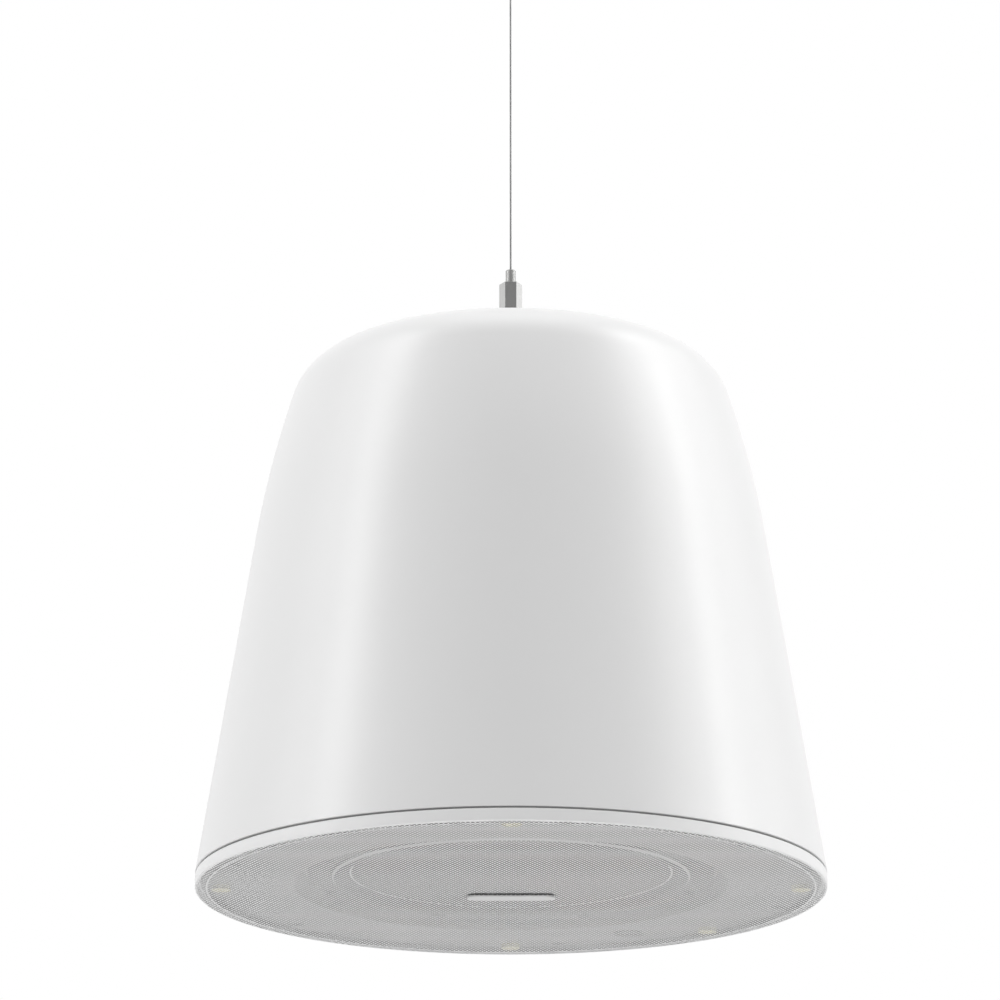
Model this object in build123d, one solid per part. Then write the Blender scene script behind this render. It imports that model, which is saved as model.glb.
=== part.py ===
from build123d import *
import math
import os

# Pendant loudspeaker: a moulded bell on a thin wire rope, its driver facing down behind
# a flat perforated grille. Everything is worked out upwards from the grille's outer face
# at z = 0, on the bell's axis, and is moved at the end so that the origin is the ceiling.

# Bell
bell_diameter = 320.0
bell_height = 295.8
bell_wall = 3.6
wall_lean = 9.0
straight_wall_top = 184.0
sweep_radius = 530.0
shoulder_radius = 30.8
crown_radius = 295.5
shadow_gap = 1.0
rib_thickness = 2.4

# Hanging height, from the grille's outer face up to the ceiling
hanging_height = 520.0

# Clearances and seats
thread_gap = 0.05
sliding_gap = 0.1
loose_gap = 0.3

# Grille and badge
grille_thickness = 0.8
opening_pitch = 26.0
opening_across = 17.0
badge_length = 44.7
badge_width = 9.2
badge_thickness = 1.05
badge_offset = 7.5
badge_stand_off = 1.0
badge_pin_spacing = 20.0
badge_shoulder_radius = 1.2
badge_pin_radius = 0.7
badge_pin_end = 1.0
badge_clip_radius = 2.4
badge_clip_thickness = 0.4

# Front baffle
lip_width = 0.7
lip_depth = 0.8
lip_chamfer = 0.4
baffle_thickness = 3.35
baffle_gap = 2.1
edge_slot_width = 2.6
edge_slot_wall = 1.4
edge_ridge_width = 2.0
spigot_height = 8.2
spigot_thickness = 2.4
front_border = 50.0
well_depth = 9.1
well_draft = 4.0
baffle_rib_count = 12
baffle_rib_start = 5.0
baffle_rib_height = 7.0
edge_seal_width = 1.2

# Screws that hold the baffle in the bell
bell_screw_count = 6
bell_screw_inset = 13.0
bell_screw_start = 20.0
bell_screw_shank = 1.9
bell_screw_head = 3.8
bell_screw_length = 20.0
bell_boss_radius = 4.5
bell_boss_height = 36.0
screw_recess_length = 4.0
screw_recess_width = 0.9
screw_recess_depth = 1.3
screw_point = 1.0

# Round magnets that hold the grille
magnet_angles = (0.0, 45.0, 90.0, 180.0, 270.0)
magnet_inset = 13.0
magnet_radius = 5.0

# Power tap dial behind the grille
dial_angle = 61.9
dial_radius = 8.0
dial_thickness = 4.2
dial_recess = 0.5
dial_slot_width = 1.4
dial_slot_depth = 1.2
dial_shaft_radius = 3.0
switch_width = 22.0
switch_height = 12.0
switch_corner = 3.0
switch_tag_length = 5.0
switch_tag_count = 5

# Woofer frame
flange_clearance = 3.0
flange_seat = 8.0
flange_width = 13.0
frame_flange_thickness = 2.0
frame_wall = 2.2
frame_collar_height = 12.0
frame_depth = 50.0
frame_window_count = 6
frame_window_angle = 38.0
spider_shelf_radius = 54.0
frame_cup_radius = 49.0
frame_cup_height = 9.0
woofer_screw_count = 8
woofer_screw_start = 22.5
woofer_screw_inset = 3.7
woofer_screw_shank = 2.0
woofer_screw_head = 3.4
woofer_screw_head_height = 2.2
woofer_screw_length = 22.0
gasket_thickness = 1.2
gasket_width = 11.0

# Woofer moving parts
surround_thickness = 0.6
surround_lip_inset = 7.8
surround_lip_width = 3.7
roll_width = 8.0
cone_edge_width = 3.6
cone_edge_overlap = 0.5
cone_thickness = 1.0
cone_depth = 33.0
cone_sag = 4.0
dust_cap_radius = 25.0
dust_cap_rise = 8.0
dust_cap_thickness = 0.9
coil_radius = 19.2
former_thickness = 0.6
former_height = 44.0
winding_thickness = 0.7
spider_fold = 1.6
spider_folds = 5
cone_travel = 3.5

# Woofer magnet
front_plate_radius = 48.0
front_plate_thickness = 6.0
coil_gap = 0.6
ferrite_radius = 50.0
ferrite_bore = 28.0
ferrite_thickness = 18.0
yoke_radius = 46.0
yoke_thickness = 6.0
pole_vent_radius = 5.0

# Hardware under the crown
centre_pad_radius = 24.0
centre_pad_depth = 3.2
load_plate_radius = 22.0
load_plate_thickness = 3.0
stud_radius = 3.0
stud_bore = 1.2
stud_tail = 12.0
nut_across = 10.0
nut_height = 5.0
chassis_radius = 76.0
chassis_thickness = 2.0
chassis_drop = 44.0
chassis_screw_circle = 66.0
chassis_screw_count = 3
chassis_screw_radius = 1.9
chassis_screw_head = 3.5
chassis_screw_head_height = 2.4
chassis_screw_length = 14.0
chassis_boss_radius = 4.5
chassis_hole_radius = 14.0
chassis_lip = 5.0
core_length = 57.0
core_width = 24.0
core_height = 48.0
core_offset = 30.0
core_leg = 9.5
coil_overhang = 9.0
strap_thickness = 1.5
strap_foot = 10.0
strap_width = 16.0
strap_hole_radius = 2.0
block_length = 42.0
block_width = 16.0
block_height = 18.0
block_offset = 40.0
block_poles = 4
lining_thickness = 12.0
lining_bottom = 62.0
lining_drop = 70.8

# Cable gland behind the hanger
gland_offset = 52.0
gland_pad_radius = 11.5
gland_pad_rise = 3.0
gland_pad_relief = 0.4
gland_thread_radius = 6.0
gland_flange_across = 17.0
gland_flange_height = 4.0
gland_barrel_height = 9.0
gland_cap_radius = 8.6
gland_cap_height = 13.0
gland_cap_wall = 1.8
gland_bore_radius = 4.2
gland_cable_radius = 3.0
gland_nut_height = 4.0
gland_thread_end = 2.0
gland_seal_depth = 7.0
gland_flute_count = 8
gland_flute_radius = 1.1

# Wire gripper
collar_radius = 14.0
collar_height = 7.5
collar_rim = 2.0
collar_chamfer = 1.2
gripper_across = 10.5
gripper_height = 23.2
stud_engagement = 6.0
plunger_radius = 2.65
plunger_rise = 7.8
plunger_travel = 2.0
plunger_bore = 0.75
barrel_radius = 2.1
barrel_length = 9.0
ball_radius = 0.9
ball_count = 3
ball_height = 4.0
grip_mouth_radius = 2.45
grip_base_radius = 3.3
grip_length = 8.5
grip_mouth_depth = 7.0
spring_wire = 0.2
spring_radius = 1.7
spring_turns = 3.5

# Wire rope and ceiling fitting
rope_radius = 0.5
rope_end_depth = 2.0
stop_radius = 2.5
stop_height = 6.0
cap_radius = 13.0
cap_floor = 3.0
cap_wall = 1.8
cap_height = 17.0
cap_hole_radius = 0.8
cap_groove = 0.6
base_radius = 15.0
base_thickness = 3.0
base_hole_radius = 2.25
spigot_wall = 2.5
ceiling_spigot_height = 7.0

bell_radius = bell_diameter / 2
lean = math.radians(wall_lean)

# Circles from the rim inwards: the baffle's border, its well, and the driver in the well
bell_screw_circle = bell_radius - bell_screw_inset
magnet_circle = bell_radius - magnet_inset
well_radius = bell_radius - front_border
well_inner = well_radius - well_draft
well_back = well_radius + baffle_thickness
frame_flange_radius = well_inner - flange_clearance
cutout_radius = frame_flange_radius - flange_seat
frame_bore_radius = frame_flange_radius - flange_width
gasket_bore_radius = frame_flange_radius - gasket_width
woofer_screw_circle = frame_flange_radius - woofer_screw_inset
surround_lip_radius = frame_flange_radius - surround_lip_inset
roll_outer_radius = surround_lip_radius - surround_lip_width
roll_inner_radius = roll_outer_radius - roll_width
cone_edge_radius = roll_inner_radius + cone_edge_overlap


# General shapes

def turned(*points):
    outline = Polyline(*[(r, 0, z) for r, z in points], close=True)
    return revolve(make_face(outline), Axis.Z)


def tube(inner, outer, low, high):
    return turned((inner, low), (outer, low), (outer, high), (inner, high))


def rod(radius, low, high, x=0.0, y=0.0):
    return Pos(x, y, (low + high) / 2) * Cylinder(radius, high - low)


def block(length, width, low, high, x=0.0, y=0.0):
    return Pos(x, y, (low + high) / 2) * Box(length, width, high - low)


def hexagon(across, low, high):
    # Two of the flats face along Y.
    outline = RegularPolygon(across / 2, 6, major_radius=False, rotation=0)
    return Pos(0, 0, low) * extrude(outline, high - low)


def around(count, radius, start=0.0):
    angles = [math.radians(start + 360.0 * k / count) for k in range(count)]
    return [(radius * math.cos(a), radius * math.sin(a)) for a in angles]


def spoke(radius_from, radius_to, thickness, low, high, angle):
    bar = block(radius_to - radius_from, thickness, low, high, (radius_from + radius_to) / 2)
    return Rot(0, 0, angle) * bar


def group(solids):
    return Compound(children=list(solids))


# Heights up the stack
rim_bottom = grille_thickness - lip_depth
baffle_face = grille_thickness + baffle_gap
baffle_top = baffle_face + baffle_thickness
mouth = baffle_top + shadow_gap
spigot_top = baffle_top + spigot_height
well_floor = baffle_face + well_depth
well_top = well_floor + baffle_thickness
frame_face = well_floor - frame_flange_thickness
collar_top = well_floor + frame_collar_height
shelf_face = well_floor + frame_depth
cup_top = shelf_face + frame_cup_height
front_plate_top = cup_top + front_plate_thickness
ferrite_top = front_plate_top + ferrite_thickness
yoke_top = ferrite_top + yoke_thickness
winding_height = front_plate_thickness + cone_travel
crown_inside = bell_height - bell_wall
pad_face = crown_inside - centre_pad_depth
chassis_top = bell_height - chassis_drop
chassis_bottom = chassis_top - chassis_thickness


# The bell's curve: a straight leaning wall, a long sweep, a tight shoulder and the crown,
# each tangent to the next. An inset moves it inwards, for the inner face.

def unit(start, end):
    dx = end[0] - start[0]
    dz = end[1] - start[1]
    length = math.hypot(dx, dz)
    return dx / length, dz / length


def shifted(point, direction, distance):
    return point[0] + direction[0] * distance, point[1] + direction[1] * distance


outward = (math.cos(lean), math.sin(lean))
wall_top = (bell_radius - (straight_wall_top - mouth) * math.tan(lean), straight_wall_top)
sweep_centre = shifted(wall_top, outward, -sweep_radius)
crown_centre = (0.0, bell_height - crown_radius)


def find_shoulder_centre():
    from_sweep = sweep_radius - shoulder_radius
    from_crown = crown_radius - shoulder_radius
    apart = math.dist(sweep_centre, crown_centre)
    along = (from_sweep**2 - from_crown**2 + apart**2) / (2 * apart)
    across = math.sqrt(from_sweep**2 - along**2)
    direction = unit(sweep_centre, crown_centre)
    foot = shifted(sweep_centre, direction, along)
    return shifted(foot, (-direction[1], direction[0]), across)


shoulder_centre = find_shoulder_centre()
sweep_end = unit(sweep_centre, shoulder_centre)
crown_start = unit(crown_centre, shoulder_centre)


def wall_radius(z, inset=0.0):
    return wall_top[0] + (straight_wall_top - z) * math.tan(lean) - inset / math.cos(lean)


def crown_height(radius, inset=0.0):
    reach = crown_radius - inset
    return crown_centre[1] + math.sqrt(reach**2 - radius**2)


def arc_between(centre, radius, start, end):
    middle = unit((0, 0), (start[0] + end[0], start[1] + end[1]))
    points = [shifted(centre, direction, radius) for direction in (start, middle, end)]
    return ThreePointArc(*[(r, 0, z) for r, z in points])


def bell_curve(inset, foot):
    straight = Line(
        (wall_radius(foot, inset), 0, foot),
        (wall_top[0] - inset * outward[0], 0, wall_top[1] - inset * outward[1]),
    )
    sweep = arc_between(sweep_centre, sweep_radius - inset, outward, sweep_end)
    shoulder = arc_between(shoulder_centre, shoulder_radius - inset, sweep_end, crown_start)
    crown = arc_between(crown_centre, crown_radius - inset, crown_start, (0.0, 1.0))
    return [straight, sweep, shoulder, crown]


def bell_solid(inset, foot):
    curve = bell_curve(inset, foot)
    down_axis = Line((0, 0, bell_height - inset), (0, 0, foot))
    across_mouth = Line((0, 0, foot), (wall_radius(foot, inset), 0, foot))
    return revolve(make_face(curve + [down_axis, across_mouth]), Axis.Z)


# Where the hanger and gland stand on the crown
collar_seat = crown_height(collar_radius)
gland_seat = crown_height(gland_offset) + gland_pad_rise
gland_inside = crown_height(gland_offset + gland_pad_radius, bell_wall) - gland_pad_relief
hanger_base = collar_seat + collar_height
gripper_top = hanger_base + gripper_height
plunger_top = gripper_top + plunger_rise


def make_housing():
    shell = bell_solid(0.0, mouth) - bell_solid(bell_wall, mouth)
    inside = bell_solid(bell_wall / 2, baffle_top)
    fittings = []
    for x, y in around(bell_screw_count, bell_screw_circle, bell_screw_start):
        fittings.append(rod(bell_boss_radius, baffle_top, baffle_top + bell_boss_height, x, y))
    for k in range(bell_screw_count):
        angle = bell_screw_start + 360.0 * k / bell_screw_count
        rib_low = spigot_top + loose_gap
        rib_high = baffle_top + bell_boss_height
        fittings.append(
            spoke(bell_screw_circle, bell_radius, rib_thickness, rib_low, rib_high, angle)
        )
    for x, y in around(chassis_screw_count, chassis_screw_circle, 90.0):
        fittings.append(rod(chassis_boss_radius, chassis_top, bell_height, x, y))
    for k in range(chassis_screw_count):
        angle = 90.0 + 360.0 * k / chassis_screw_count
        rib_low = pad_face - centre_pad_depth
        fittings.append(
            spoke(centre_pad_radius - 1, chassis_screw_circle, rib_thickness, rib_low,
                  bell_height, angle)
        )
    fittings.append(rod(centre_pad_radius, pad_face, bell_height))
    fittings.append(rod(gland_pad_radius, gland_inside, gland_seat - gland_pad_rise, 0, gland_offset))
    housing = shell + [piece & inside for piece in fittings]
    housing += rod(gland_pad_radius, gland_inside, gland_seat, 0, gland_offset)
    for x, y in around(bell_screw_count, bell_screw_circle, bell_screw_start):
        hole_top = baffle_face + bell_screw_length + 2
        housing -= rod(bell_screw_shank + sliding_gap, baffle_top, hole_top, x, y)
    for x, y in around(chassis_screw_count, chassis_screw_circle, 90.0):
        hole_top = chassis_bottom + chassis_screw_length + 2
        housing -= rod(chassis_screw_radius + sliding_gap, chassis_top, hole_top, x, y)
    housing -= rod(stud_radius + sliding_gap, pad_face, bell_height)
    housing -= rod(gland_thread_radius + sliding_gap, gland_inside, gland_seat, 0, gland_offset)
    housing -= tube(0, collar_radius + loose_gap, collar_seat, bell_height + 1)
    return housing


# Grille and badge
grille_radius = bell_radius - lip_width - sliding_gap


def make_grille():
    # The real sheet has about 14 000 holes of 1.5 mm. Larger hexagonal openings with the
    # same open share stand for them here, in the same staggered rows.
    row_step = opening_pitch * math.sqrt(3) / 2
    reach = grille_radius - opening_across * 0.62
    places = []
    for row in range(-20, 21):
        for column in range(-20, 21):
            x = (column + 0.5 * (row % 2)) * opening_pitch
            y = row * row_step
            if math.hypot(x, y) < reach:
                places.append(Pos(x, y, 0) * Rot(0, 0, 30))
    hole = RegularPolygon(opening_across / 2, 6, major_radius=False, rotation=0)
    outline = Circle(grille_radius) - [place * hole for place in places]
    outline -= [Pos(x, badge_offset) * Circle(badge_pin_radius + sliding_gap) for x in pin_places]
    return extrude(outline, grille_thickness)


# The badge stands off the grille on two pins, which clips hold behind it.
pin_places = (-badge_pin_spacing / 2, badge_pin_spacing / 2)
pin_end = grille_thickness + badge_pin_end


def make_badge():
    back = -badge_stand_off
    outline = Pos(0, badge_offset) * SlotOverall(badge_length, badge_width)
    plate = Pos(0, 0, back - badge_thickness) * extrude(outline, badge_thickness)
    badge = chamfer(plate.edges().group_by(Axis.Z)[0], 0.35)
    for x in pin_places:
        badge += rod(badge_shoulder_radius, back, 0, x, badge_offset)
        badge += rod(badge_pin_radius, 0, pin_end, x, badge_offset)
    return badge


def make_badge_clips():
    clip = tube(
        badge_pin_radius + thread_gap,
        badge_clip_radius,
        grille_thickness,
        grille_thickness + badge_clip_thickness,
    )
    return group([Pos(x, badge_offset, 0) * clip for x in pin_places])


# Front baffle with the rim that shows round the grille
slot_outer = bell_radius - edge_slot_wall
slot_inner = slot_outer - edge_slot_width
ridge_inner = slot_inner - edge_ridge_width
spigot_outer = wall_radius(spigot_top, bell_wall) - loose_gap
spigot_inner = spigot_outer - spigot_thickness
dial_circle = (well_back + spigot_inner) / 2
dial_x = dial_circle * math.cos(math.radians(dial_angle))
dial_y = dial_circle * math.sin(math.radians(dial_angle))
above_all = well_top + baffle_rib_height


def countersink(top):
    depth = bell_screw_head - bell_screw_shank
    return turned(
        (0, baffle_face),
        (bell_screw_head, baffle_face),
        (bell_screw_shank, baffle_face + depth),
        (bell_screw_shank, top),
        (0, top),
    )


def make_baffle():
    body = turned(
        (bell_radius - lip_width, rim_bottom),
        (bell_radius - lip_chamfer, rim_bottom),
        (bell_radius, rim_bottom + lip_chamfer),
        (bell_radius, baffle_top - lip_chamfer),
        (bell_radius - lip_chamfer, baffle_top),
        (spigot_outer, baffle_top),
        (spigot_outer, spigot_top),
        (spigot_inner, spigot_top),
        (spigot_inner, baffle_top),
        (well_back, baffle_top),
        (well_back - well_draft, well_top),
        (cutout_radius, well_top),
        (cutout_radius, well_floor),
        (well_inner, well_floor),
        (well_radius, baffle_face),
        (ridge_inner, baffle_face),
        (ridge_inner, grille_thickness),
        (slot_inner, grille_thickness),
        (slot_inner, baffle_face),
        (slot_outer, baffle_face),
        (slot_outer, grille_thickness),
        (bell_radius - lip_width, grille_thickness),
    )
    for k in range(baffle_rib_count):
        angle = baffle_rib_start + 360.0 * k / baffle_rib_count
        rib_foot = well_back - well_draft * baffle_rib_height / (well_top - baffle_top)
        body += spoke(rib_foot, spigot_inner + spigot_thickness / 2, rib_thickness,
                      baffle_top - baffle_thickness / 2, baffle_top + baffle_rib_height, angle)
    switch_room = switch_width + 6 * loose_gap
    room = block(switch_room, switch_room, baffle_top, above_all, dial_x, dial_y)
    body -= room & tube(well_back + loose_gap, spigot_inner - loose_gap, baffle_top, above_all)
    for x, y in around(bell_screw_count, bell_screw_circle, bell_screw_start):
        body -= rod(bell_boss_radius + loose_gap, baffle_top, above_all, x, y)
        body -= rod(bell_screw_shank + sliding_gap, baffle_face, baffle_top, x, y)
        body -= Pos(x, y, 0) * countersink(baffle_top)
    for x, y in around(woofer_screw_count, woofer_screw_circle, woofer_screw_start):
        body -= rod(woofer_screw_shank + sliding_gap, well_floor, well_top, x, y)
    body -= rod(dial_radius + loose_gap, baffle_face, baffle_top, dial_x, dial_y)
    return body


def make_bell_screws():
    depth = bell_screw_head - bell_screw_shank
    tip = baffle_face + bell_screw_length
    screw = turned(
        (0, baffle_face),
        (bell_screw_head - sliding_gap, baffle_face),
        (bell_screw_shank - sliding_gap, baffle_face + depth),
        (bell_screw_shank - sliding_gap, tip - screw_point),
        (0, tip),
    )
    screw -= cross_recess(baffle_face)
    places = around(bell_screw_count, bell_screw_circle, bell_screw_start)
    return group([Pos(x, y, 0) * screw for x, y in places])


def cross_recess(face):
    slot = block(screw_recess_length, screw_recess_width, face, face + screw_recess_depth)
    return slot + Rot(0, 0, 90) * slot


def make_rim_gasket():
    return tube(spigot_outer + loose_gap, slot_outer, baffle_top, mouth)


def make_edge_seal():
    inner = slot_inner + sliding_gap
    return tube(inner, inner + edge_seal_width, grille_thickness, baffle_face)


def make_grille_magnets():
    magnets = []
    for angle in magnet_angles:
        x = magnet_circle * math.cos(math.radians(angle))
        y = magnet_circle * math.sin(math.radians(angle))
        magnets.append(rod(magnet_radius, grille_thickness, baffle_face, x, y))
    return group(magnets)


# Power tap dial
switch_face = baffle_top
dial_face = baffle_face - dial_recess


def make_tap_dial():
    head_top = min(dial_face + dial_thickness, switch_face - loose_gap)
    dial = rod(dial_radius, dial_face, head_top)
    dial += rod(dial_shaft_radius, head_top, switch_face + switch_height)
    dial -= block(dial_radius * 1.6, dial_slot_width, dial_face, dial_face + dial_slot_depth)
    return Pos(dial_x, dial_y, 0) * dial


def make_tap_switch():
    body = block(switch_width, switch_width, switch_face, switch_face + switch_height)
    body = chamfer(body.edges().filter_by(Axis.Z), switch_corner)
    top = switch_face + switch_height
    body -= rod(dial_shaft_radius + thread_gap, switch_face, top)
    for x, y in around(switch_tag_count, switch_width * 0.36, 90.0):
        body += block(0.8, 3.0, top, top + switch_tag_length, x, y)
    return Pos(dial_x, dial_y, 0) * body


# Woofer frame, gasket and screws
def make_frame():
    shelf_inner = frame_cup_radius - frame_wall
    body = turned(
        (frame_bore_radius, frame_face),
        (frame_flange_radius, frame_face),
        (frame_flange_radius, well_floor),
        (frame_bore_radius + frame_wall, well_floor),
        (frame_bore_radius + frame_wall, collar_top),
        (spider_shelf_radius + frame_wall, shelf_face),
        (spider_shelf_radius + frame_wall, shelf_face + frame_wall),
        (frame_cup_radius, shelf_face + frame_wall),
        (frame_cup_radius, cup_top),
        (coil_radius + 12, cup_top),
        (coil_radius + 12, cup_top - frame_wall),
        (shelf_inner, cup_top - frame_wall),
        (shelf_inner, shelf_face),
        (spider_shelf_radius, shelf_face),
        (frame_bore_radius, collar_top),
    )
    window_low = collar_top + 2
    window_high = shelf_face - 4
    for k in range(frame_window_count):
        cutter = window_wedge(window_low, window_high)
        body -= Rot(0, 0, 360.0 * k / frame_window_count) * cutter
    for x, y in around(woofer_screw_count, woofer_screw_circle, woofer_screw_start):
        body -= rod(woofer_screw_shank + sliding_gap, frame_face, well_floor, x, y)
    return body


def window_wedge(low, high):
    half = math.radians(frame_window_angle / 2)
    reach = frame_flange_radius * 1.3
    corner = (reach * math.cos(half), reach * math.sin(half))
    near = (30 * math.cos(half), 30 * math.sin(half))
    outline = Polyline(near, corner, (corner[0], -corner[1]), (near[0], -near[1]), close=True)
    return Pos(0, 0, low) * extrude(make_face(outline), high - low)


def make_gasket():
    lip_edge = surround_lip_radius + loose_gap
    lip_face = frame_face - surround_thickness
    ring = turned(
        (gasket_bore_radius, lip_face - gasket_thickness),
        (frame_flange_radius, lip_face - gasket_thickness),
        (frame_flange_radius, frame_face),
        (lip_edge, frame_face),
        (lip_edge, lip_face),
        (gasket_bore_radius, lip_face),
    )
    for x, y in around(woofer_screw_count, woofer_screw_circle, woofer_screw_start):
        ring -= rod(woofer_screw_shank + sliding_gap, lip_face - gasket_thickness, frame_face, x, y)
    return ring


def make_woofer_screws():
    seat = frame_face - surround_thickness - gasket_thickness
    head = chamfer(
        rod(woofer_screw_head, seat - woofer_screw_head_height, seat).edges().group_by(Axis.Z)[0],
        0.6,
    )
    head -= cross_recess(seat - woofer_screw_head_height)
    screw = head + rod(woofer_screw_shank, seat, seat + woofer_screw_length)
    places = around(woofer_screw_count, woofer_screw_circle, woofer_screw_start)
    return group([Pos(x, y, 0) * screw for x, y in places])


# Woofer moving parts
cone_face = frame_face
cone_throat = cone_face + cone_depth
former_outer = coil_radius + former_thickness


def make_surround():
    back = frame_face
    front = back - surround_thickness
    middle = (roll_outer_radius + roll_inner_radius) / 2
    rise = (roll_outer_radius - roll_inner_radius) / 2
    inner_edge = cone_edge_radius - cone_edge_width
    edges = [
        Line((inner_edge, 0, back), (inner_edge, 0, front)),
        Line((inner_edge, 0, front), (roll_inner_radius, 0, front)),
        ThreePointArc(
            (roll_inner_radius, 0, front),
            (middle, 0, front - rise),
            (roll_outer_radius, 0, front),
        ),
        Line((roll_outer_radius, 0, front), (surround_lip_radius, 0, front)),
        Line((surround_lip_radius, 0, front), (surround_lip_radius, 0, back)),
        Line((surround_lip_radius, 0, back), (roll_outer_radius - surround_thickness, 0, back)),
        ThreePointArc(
            (roll_outer_radius - surround_thickness, 0, back),
            (middle, 0, front - rise + surround_thickness),
            (roll_inner_radius + surround_thickness, 0, back),
        ),
        Line((roll_inner_radius + surround_thickness, 0, back), (inner_edge, 0, back)),
    ]
    return revolve(make_face(edges), Axis.Z)


def make_cone():
    flat_inner = cone_edge_radius - cone_edge_width
    throat = former_outer
    front_middle = ((flat_inner + throat) / 2, 0, (cone_face + cone_throat) / 2 + cone_sag)
    back_middle = (front_middle[0] + cone_thickness, 0, front_middle[2] + cone_thickness)
    edges = [
        Line((cone_edge_radius, 0, cone_face), (flat_inner, 0, cone_face)),
        ThreePointArc((flat_inner, 0, cone_face), front_middle, (throat, 0, cone_throat)),
        Line((throat, 0, cone_throat), (throat, 0, cone_throat + 1.6 * cone_thickness)),
        ThreePointArc(
            (throat, 0, cone_throat + 1.6 * cone_thickness),
            back_middle,
            (flat_inner + cone_thickness, 0, cone_face + cone_thickness),
        ),
        Line(
            (flat_inner + cone_thickness, 0, cone_face + cone_thickness),
            (cone_edge_radius, 0, cone_face + cone_thickness),
        ),
        Line((cone_edge_radius, 0, cone_face + cone_thickness), (cone_edge_radius, 0, cone_face)),
    ]
    return revolve(make_face(edges), Axis.Z)


def cone_front(radius):
    # Height of the cone's front face, on the circle through its three points.
    flat_inner = cone_edge_radius - cone_edge_width
    a = Vector(flat_inner, cone_face)
    b = Vector((flat_inner + former_outer) / 2, (cone_face + cone_throat) / 2 + cone_sag)
    c = Vector(former_outer, cone_throat)
    d = 2 * (a.X * (b.Y - c.Y) + b.X * (c.Y - a.Y) + c.X * (a.Y - b.Y))
    aa = a.X**2 + a.Y**2
    bb = b.X**2 + b.Y**2
    cc = c.X**2 + c.Y**2
    centre_x = (aa * (b.Y - c.Y) + bb * (c.Y - a.Y) + cc * (a.Y - b.Y)) / d
    centre_y = (aa * (c.X - b.X) + bb * (a.X - c.X) + cc * (b.X - a.X)) / d
    reach = math.hypot(a.X - centre_x, a.Y - centre_y)
    return centre_y + math.sqrt(reach**2 - (radius - centre_x) ** 2)


def make_dust_cap():
    # The cap's rim stands on the cone's front face.
    edge = cone_front(dust_cap_radius) - 0.2
    inner = dust_cap_radius - dust_cap_thickness
    outside = cap_arc(dust_cap_radius, dust_cap_rise, edge)
    inside = cap_arc(inner, dust_cap_rise - dust_cap_thickness, edge)
    middle = Line((0, 0, edge - dust_cap_rise), (0, 0, edge - dust_cap_rise + dust_cap_thickness))
    rim = Line((inner, 0, edge), (dust_cap_radius, 0, edge))
    return revolve(make_face([outside, rim, inside, middle]), Axis.Z)


def cap_arc(radius, rise, edge):
    # A round cap's section, from its middle to its edge.
    sphere = (radius**2 + rise**2) / (2 * rise)
    centre = edge - rise + sphere
    half = math.asin(radius / sphere) / 2
    middle = (sphere * math.sin(half), 0, centre - sphere * math.cos(half))
    return ThreePointArc((0, 0, edge - rise), middle, (radius, 0, edge))


def make_voice_coil():
    low = cone_throat - 2
    high = low + former_height
    winding_middle = cup_top + front_plate_thickness / 2
    winding_low = winding_middle - winding_height / 2
    winding_high = winding_middle + winding_height / 2
    outer = former_outer - sliding_gap / 2
    winding_outer = outer + winding_thickness
    return turned(
        (coil_radius, low),
        (outer, low),
        (outer, winding_low),
        (winding_outer, winding_low),
        (winding_outer, winding_high),
        (outer, winding_high),
        (outer, high),
        (coil_radius, high),
    )


def make_spider():
    thickness = 0.6
    inner = former_outer
    outer = spider_shelf_radius - 0.5
    fold_outer = frame_cup_radius - frame_wall - 1
    fold_inner = inner + 4
    steps = 2 * spider_folds
    front = [(inner, shelf_face - thickness), (fold_inner, shelf_face - thickness)]
    for k in range(1, steps):
        side = spider_fold if k % 2 else 0.0
        radius = fold_inner + (fold_outer - fold_inner) * k / steps
        front.append((radius, shelf_face - thickness - side))
    front += [(fold_outer, shelf_face - thickness), (outer, shelf_face - thickness)]
    back = [(r, z + thickness) for r, z in reversed(front)]
    return turned(*front, *back)


# Woofer magnet
winding_outer_radius = former_outer + winding_thickness
plate_bore = winding_outer_radius + coil_gap
pole_radius = coil_radius - coil_gap


def make_front_plate():
    return tube(plate_bore, front_plate_radius, cup_top, front_plate_top)


def make_ferrite():
    return tube(ferrite_bore, ferrite_radius, front_plate_top, ferrite_top)


def make_yoke():
    return turned(
        (pole_vent_radius, cup_top),
        (pole_radius, cup_top),
        (pole_radius, ferrite_top),
        (yoke_radius, ferrite_top),
        (yoke_radius, yoke_top - 1.5),
        (yoke_radius - 1.5, yoke_top),
        (pole_vent_radius, yoke_top),
    )


# Chassis plate under the crown, with the line transformer and the terminal block
def make_chassis():
    plate = rod(chassis_radius, chassis_bottom, chassis_top)
    plate -= rod(chassis_hole_radius, chassis_bottom, chassis_top)
    for x, y in around(chassis_screw_count, chassis_screw_circle, 90.0):
        plate -= rod(chassis_screw_radius + sliding_gap, chassis_bottom, chassis_top, x, y)
    lip_low = chassis_bottom - chassis_lip
    plate += tube(chassis_radius - chassis_thickness, chassis_radius, lip_low, chassis_bottom)
    return plate


def make_chassis_screws():
    low = chassis_bottom - chassis_screw_head_height
    head = rod(chassis_screw_head, low, chassis_bottom)
    head = chamfer(head.edges().group_by(Axis.Z)[0], 0.6) - cross_recess(low)
    screw = head + rod(chassis_screw_radius, chassis_bottom, chassis_bottom + chassis_screw_length)
    places = around(chassis_screw_count, chassis_screw_circle, 90.0)
    return group([Pos(x, y, 0) * screw for x, y in places])


core_top = chassis_bottom
core_bottom = core_top - core_height
window_width = (core_length - 4 * core_leg) / 2


def core_windows():
    offset = core_leg + window_width / 2
    low = core_bottom + core_leg
    high = core_top - core_leg
    return [block(window_width, core_width, low, high, side * offset) for side in (-1, 1)]


def make_core():
    core = block(core_length, core_width, core_bottom, core_top)
    core -= core_windows()
    return Pos(0, -core_offset, 0) * core


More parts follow.
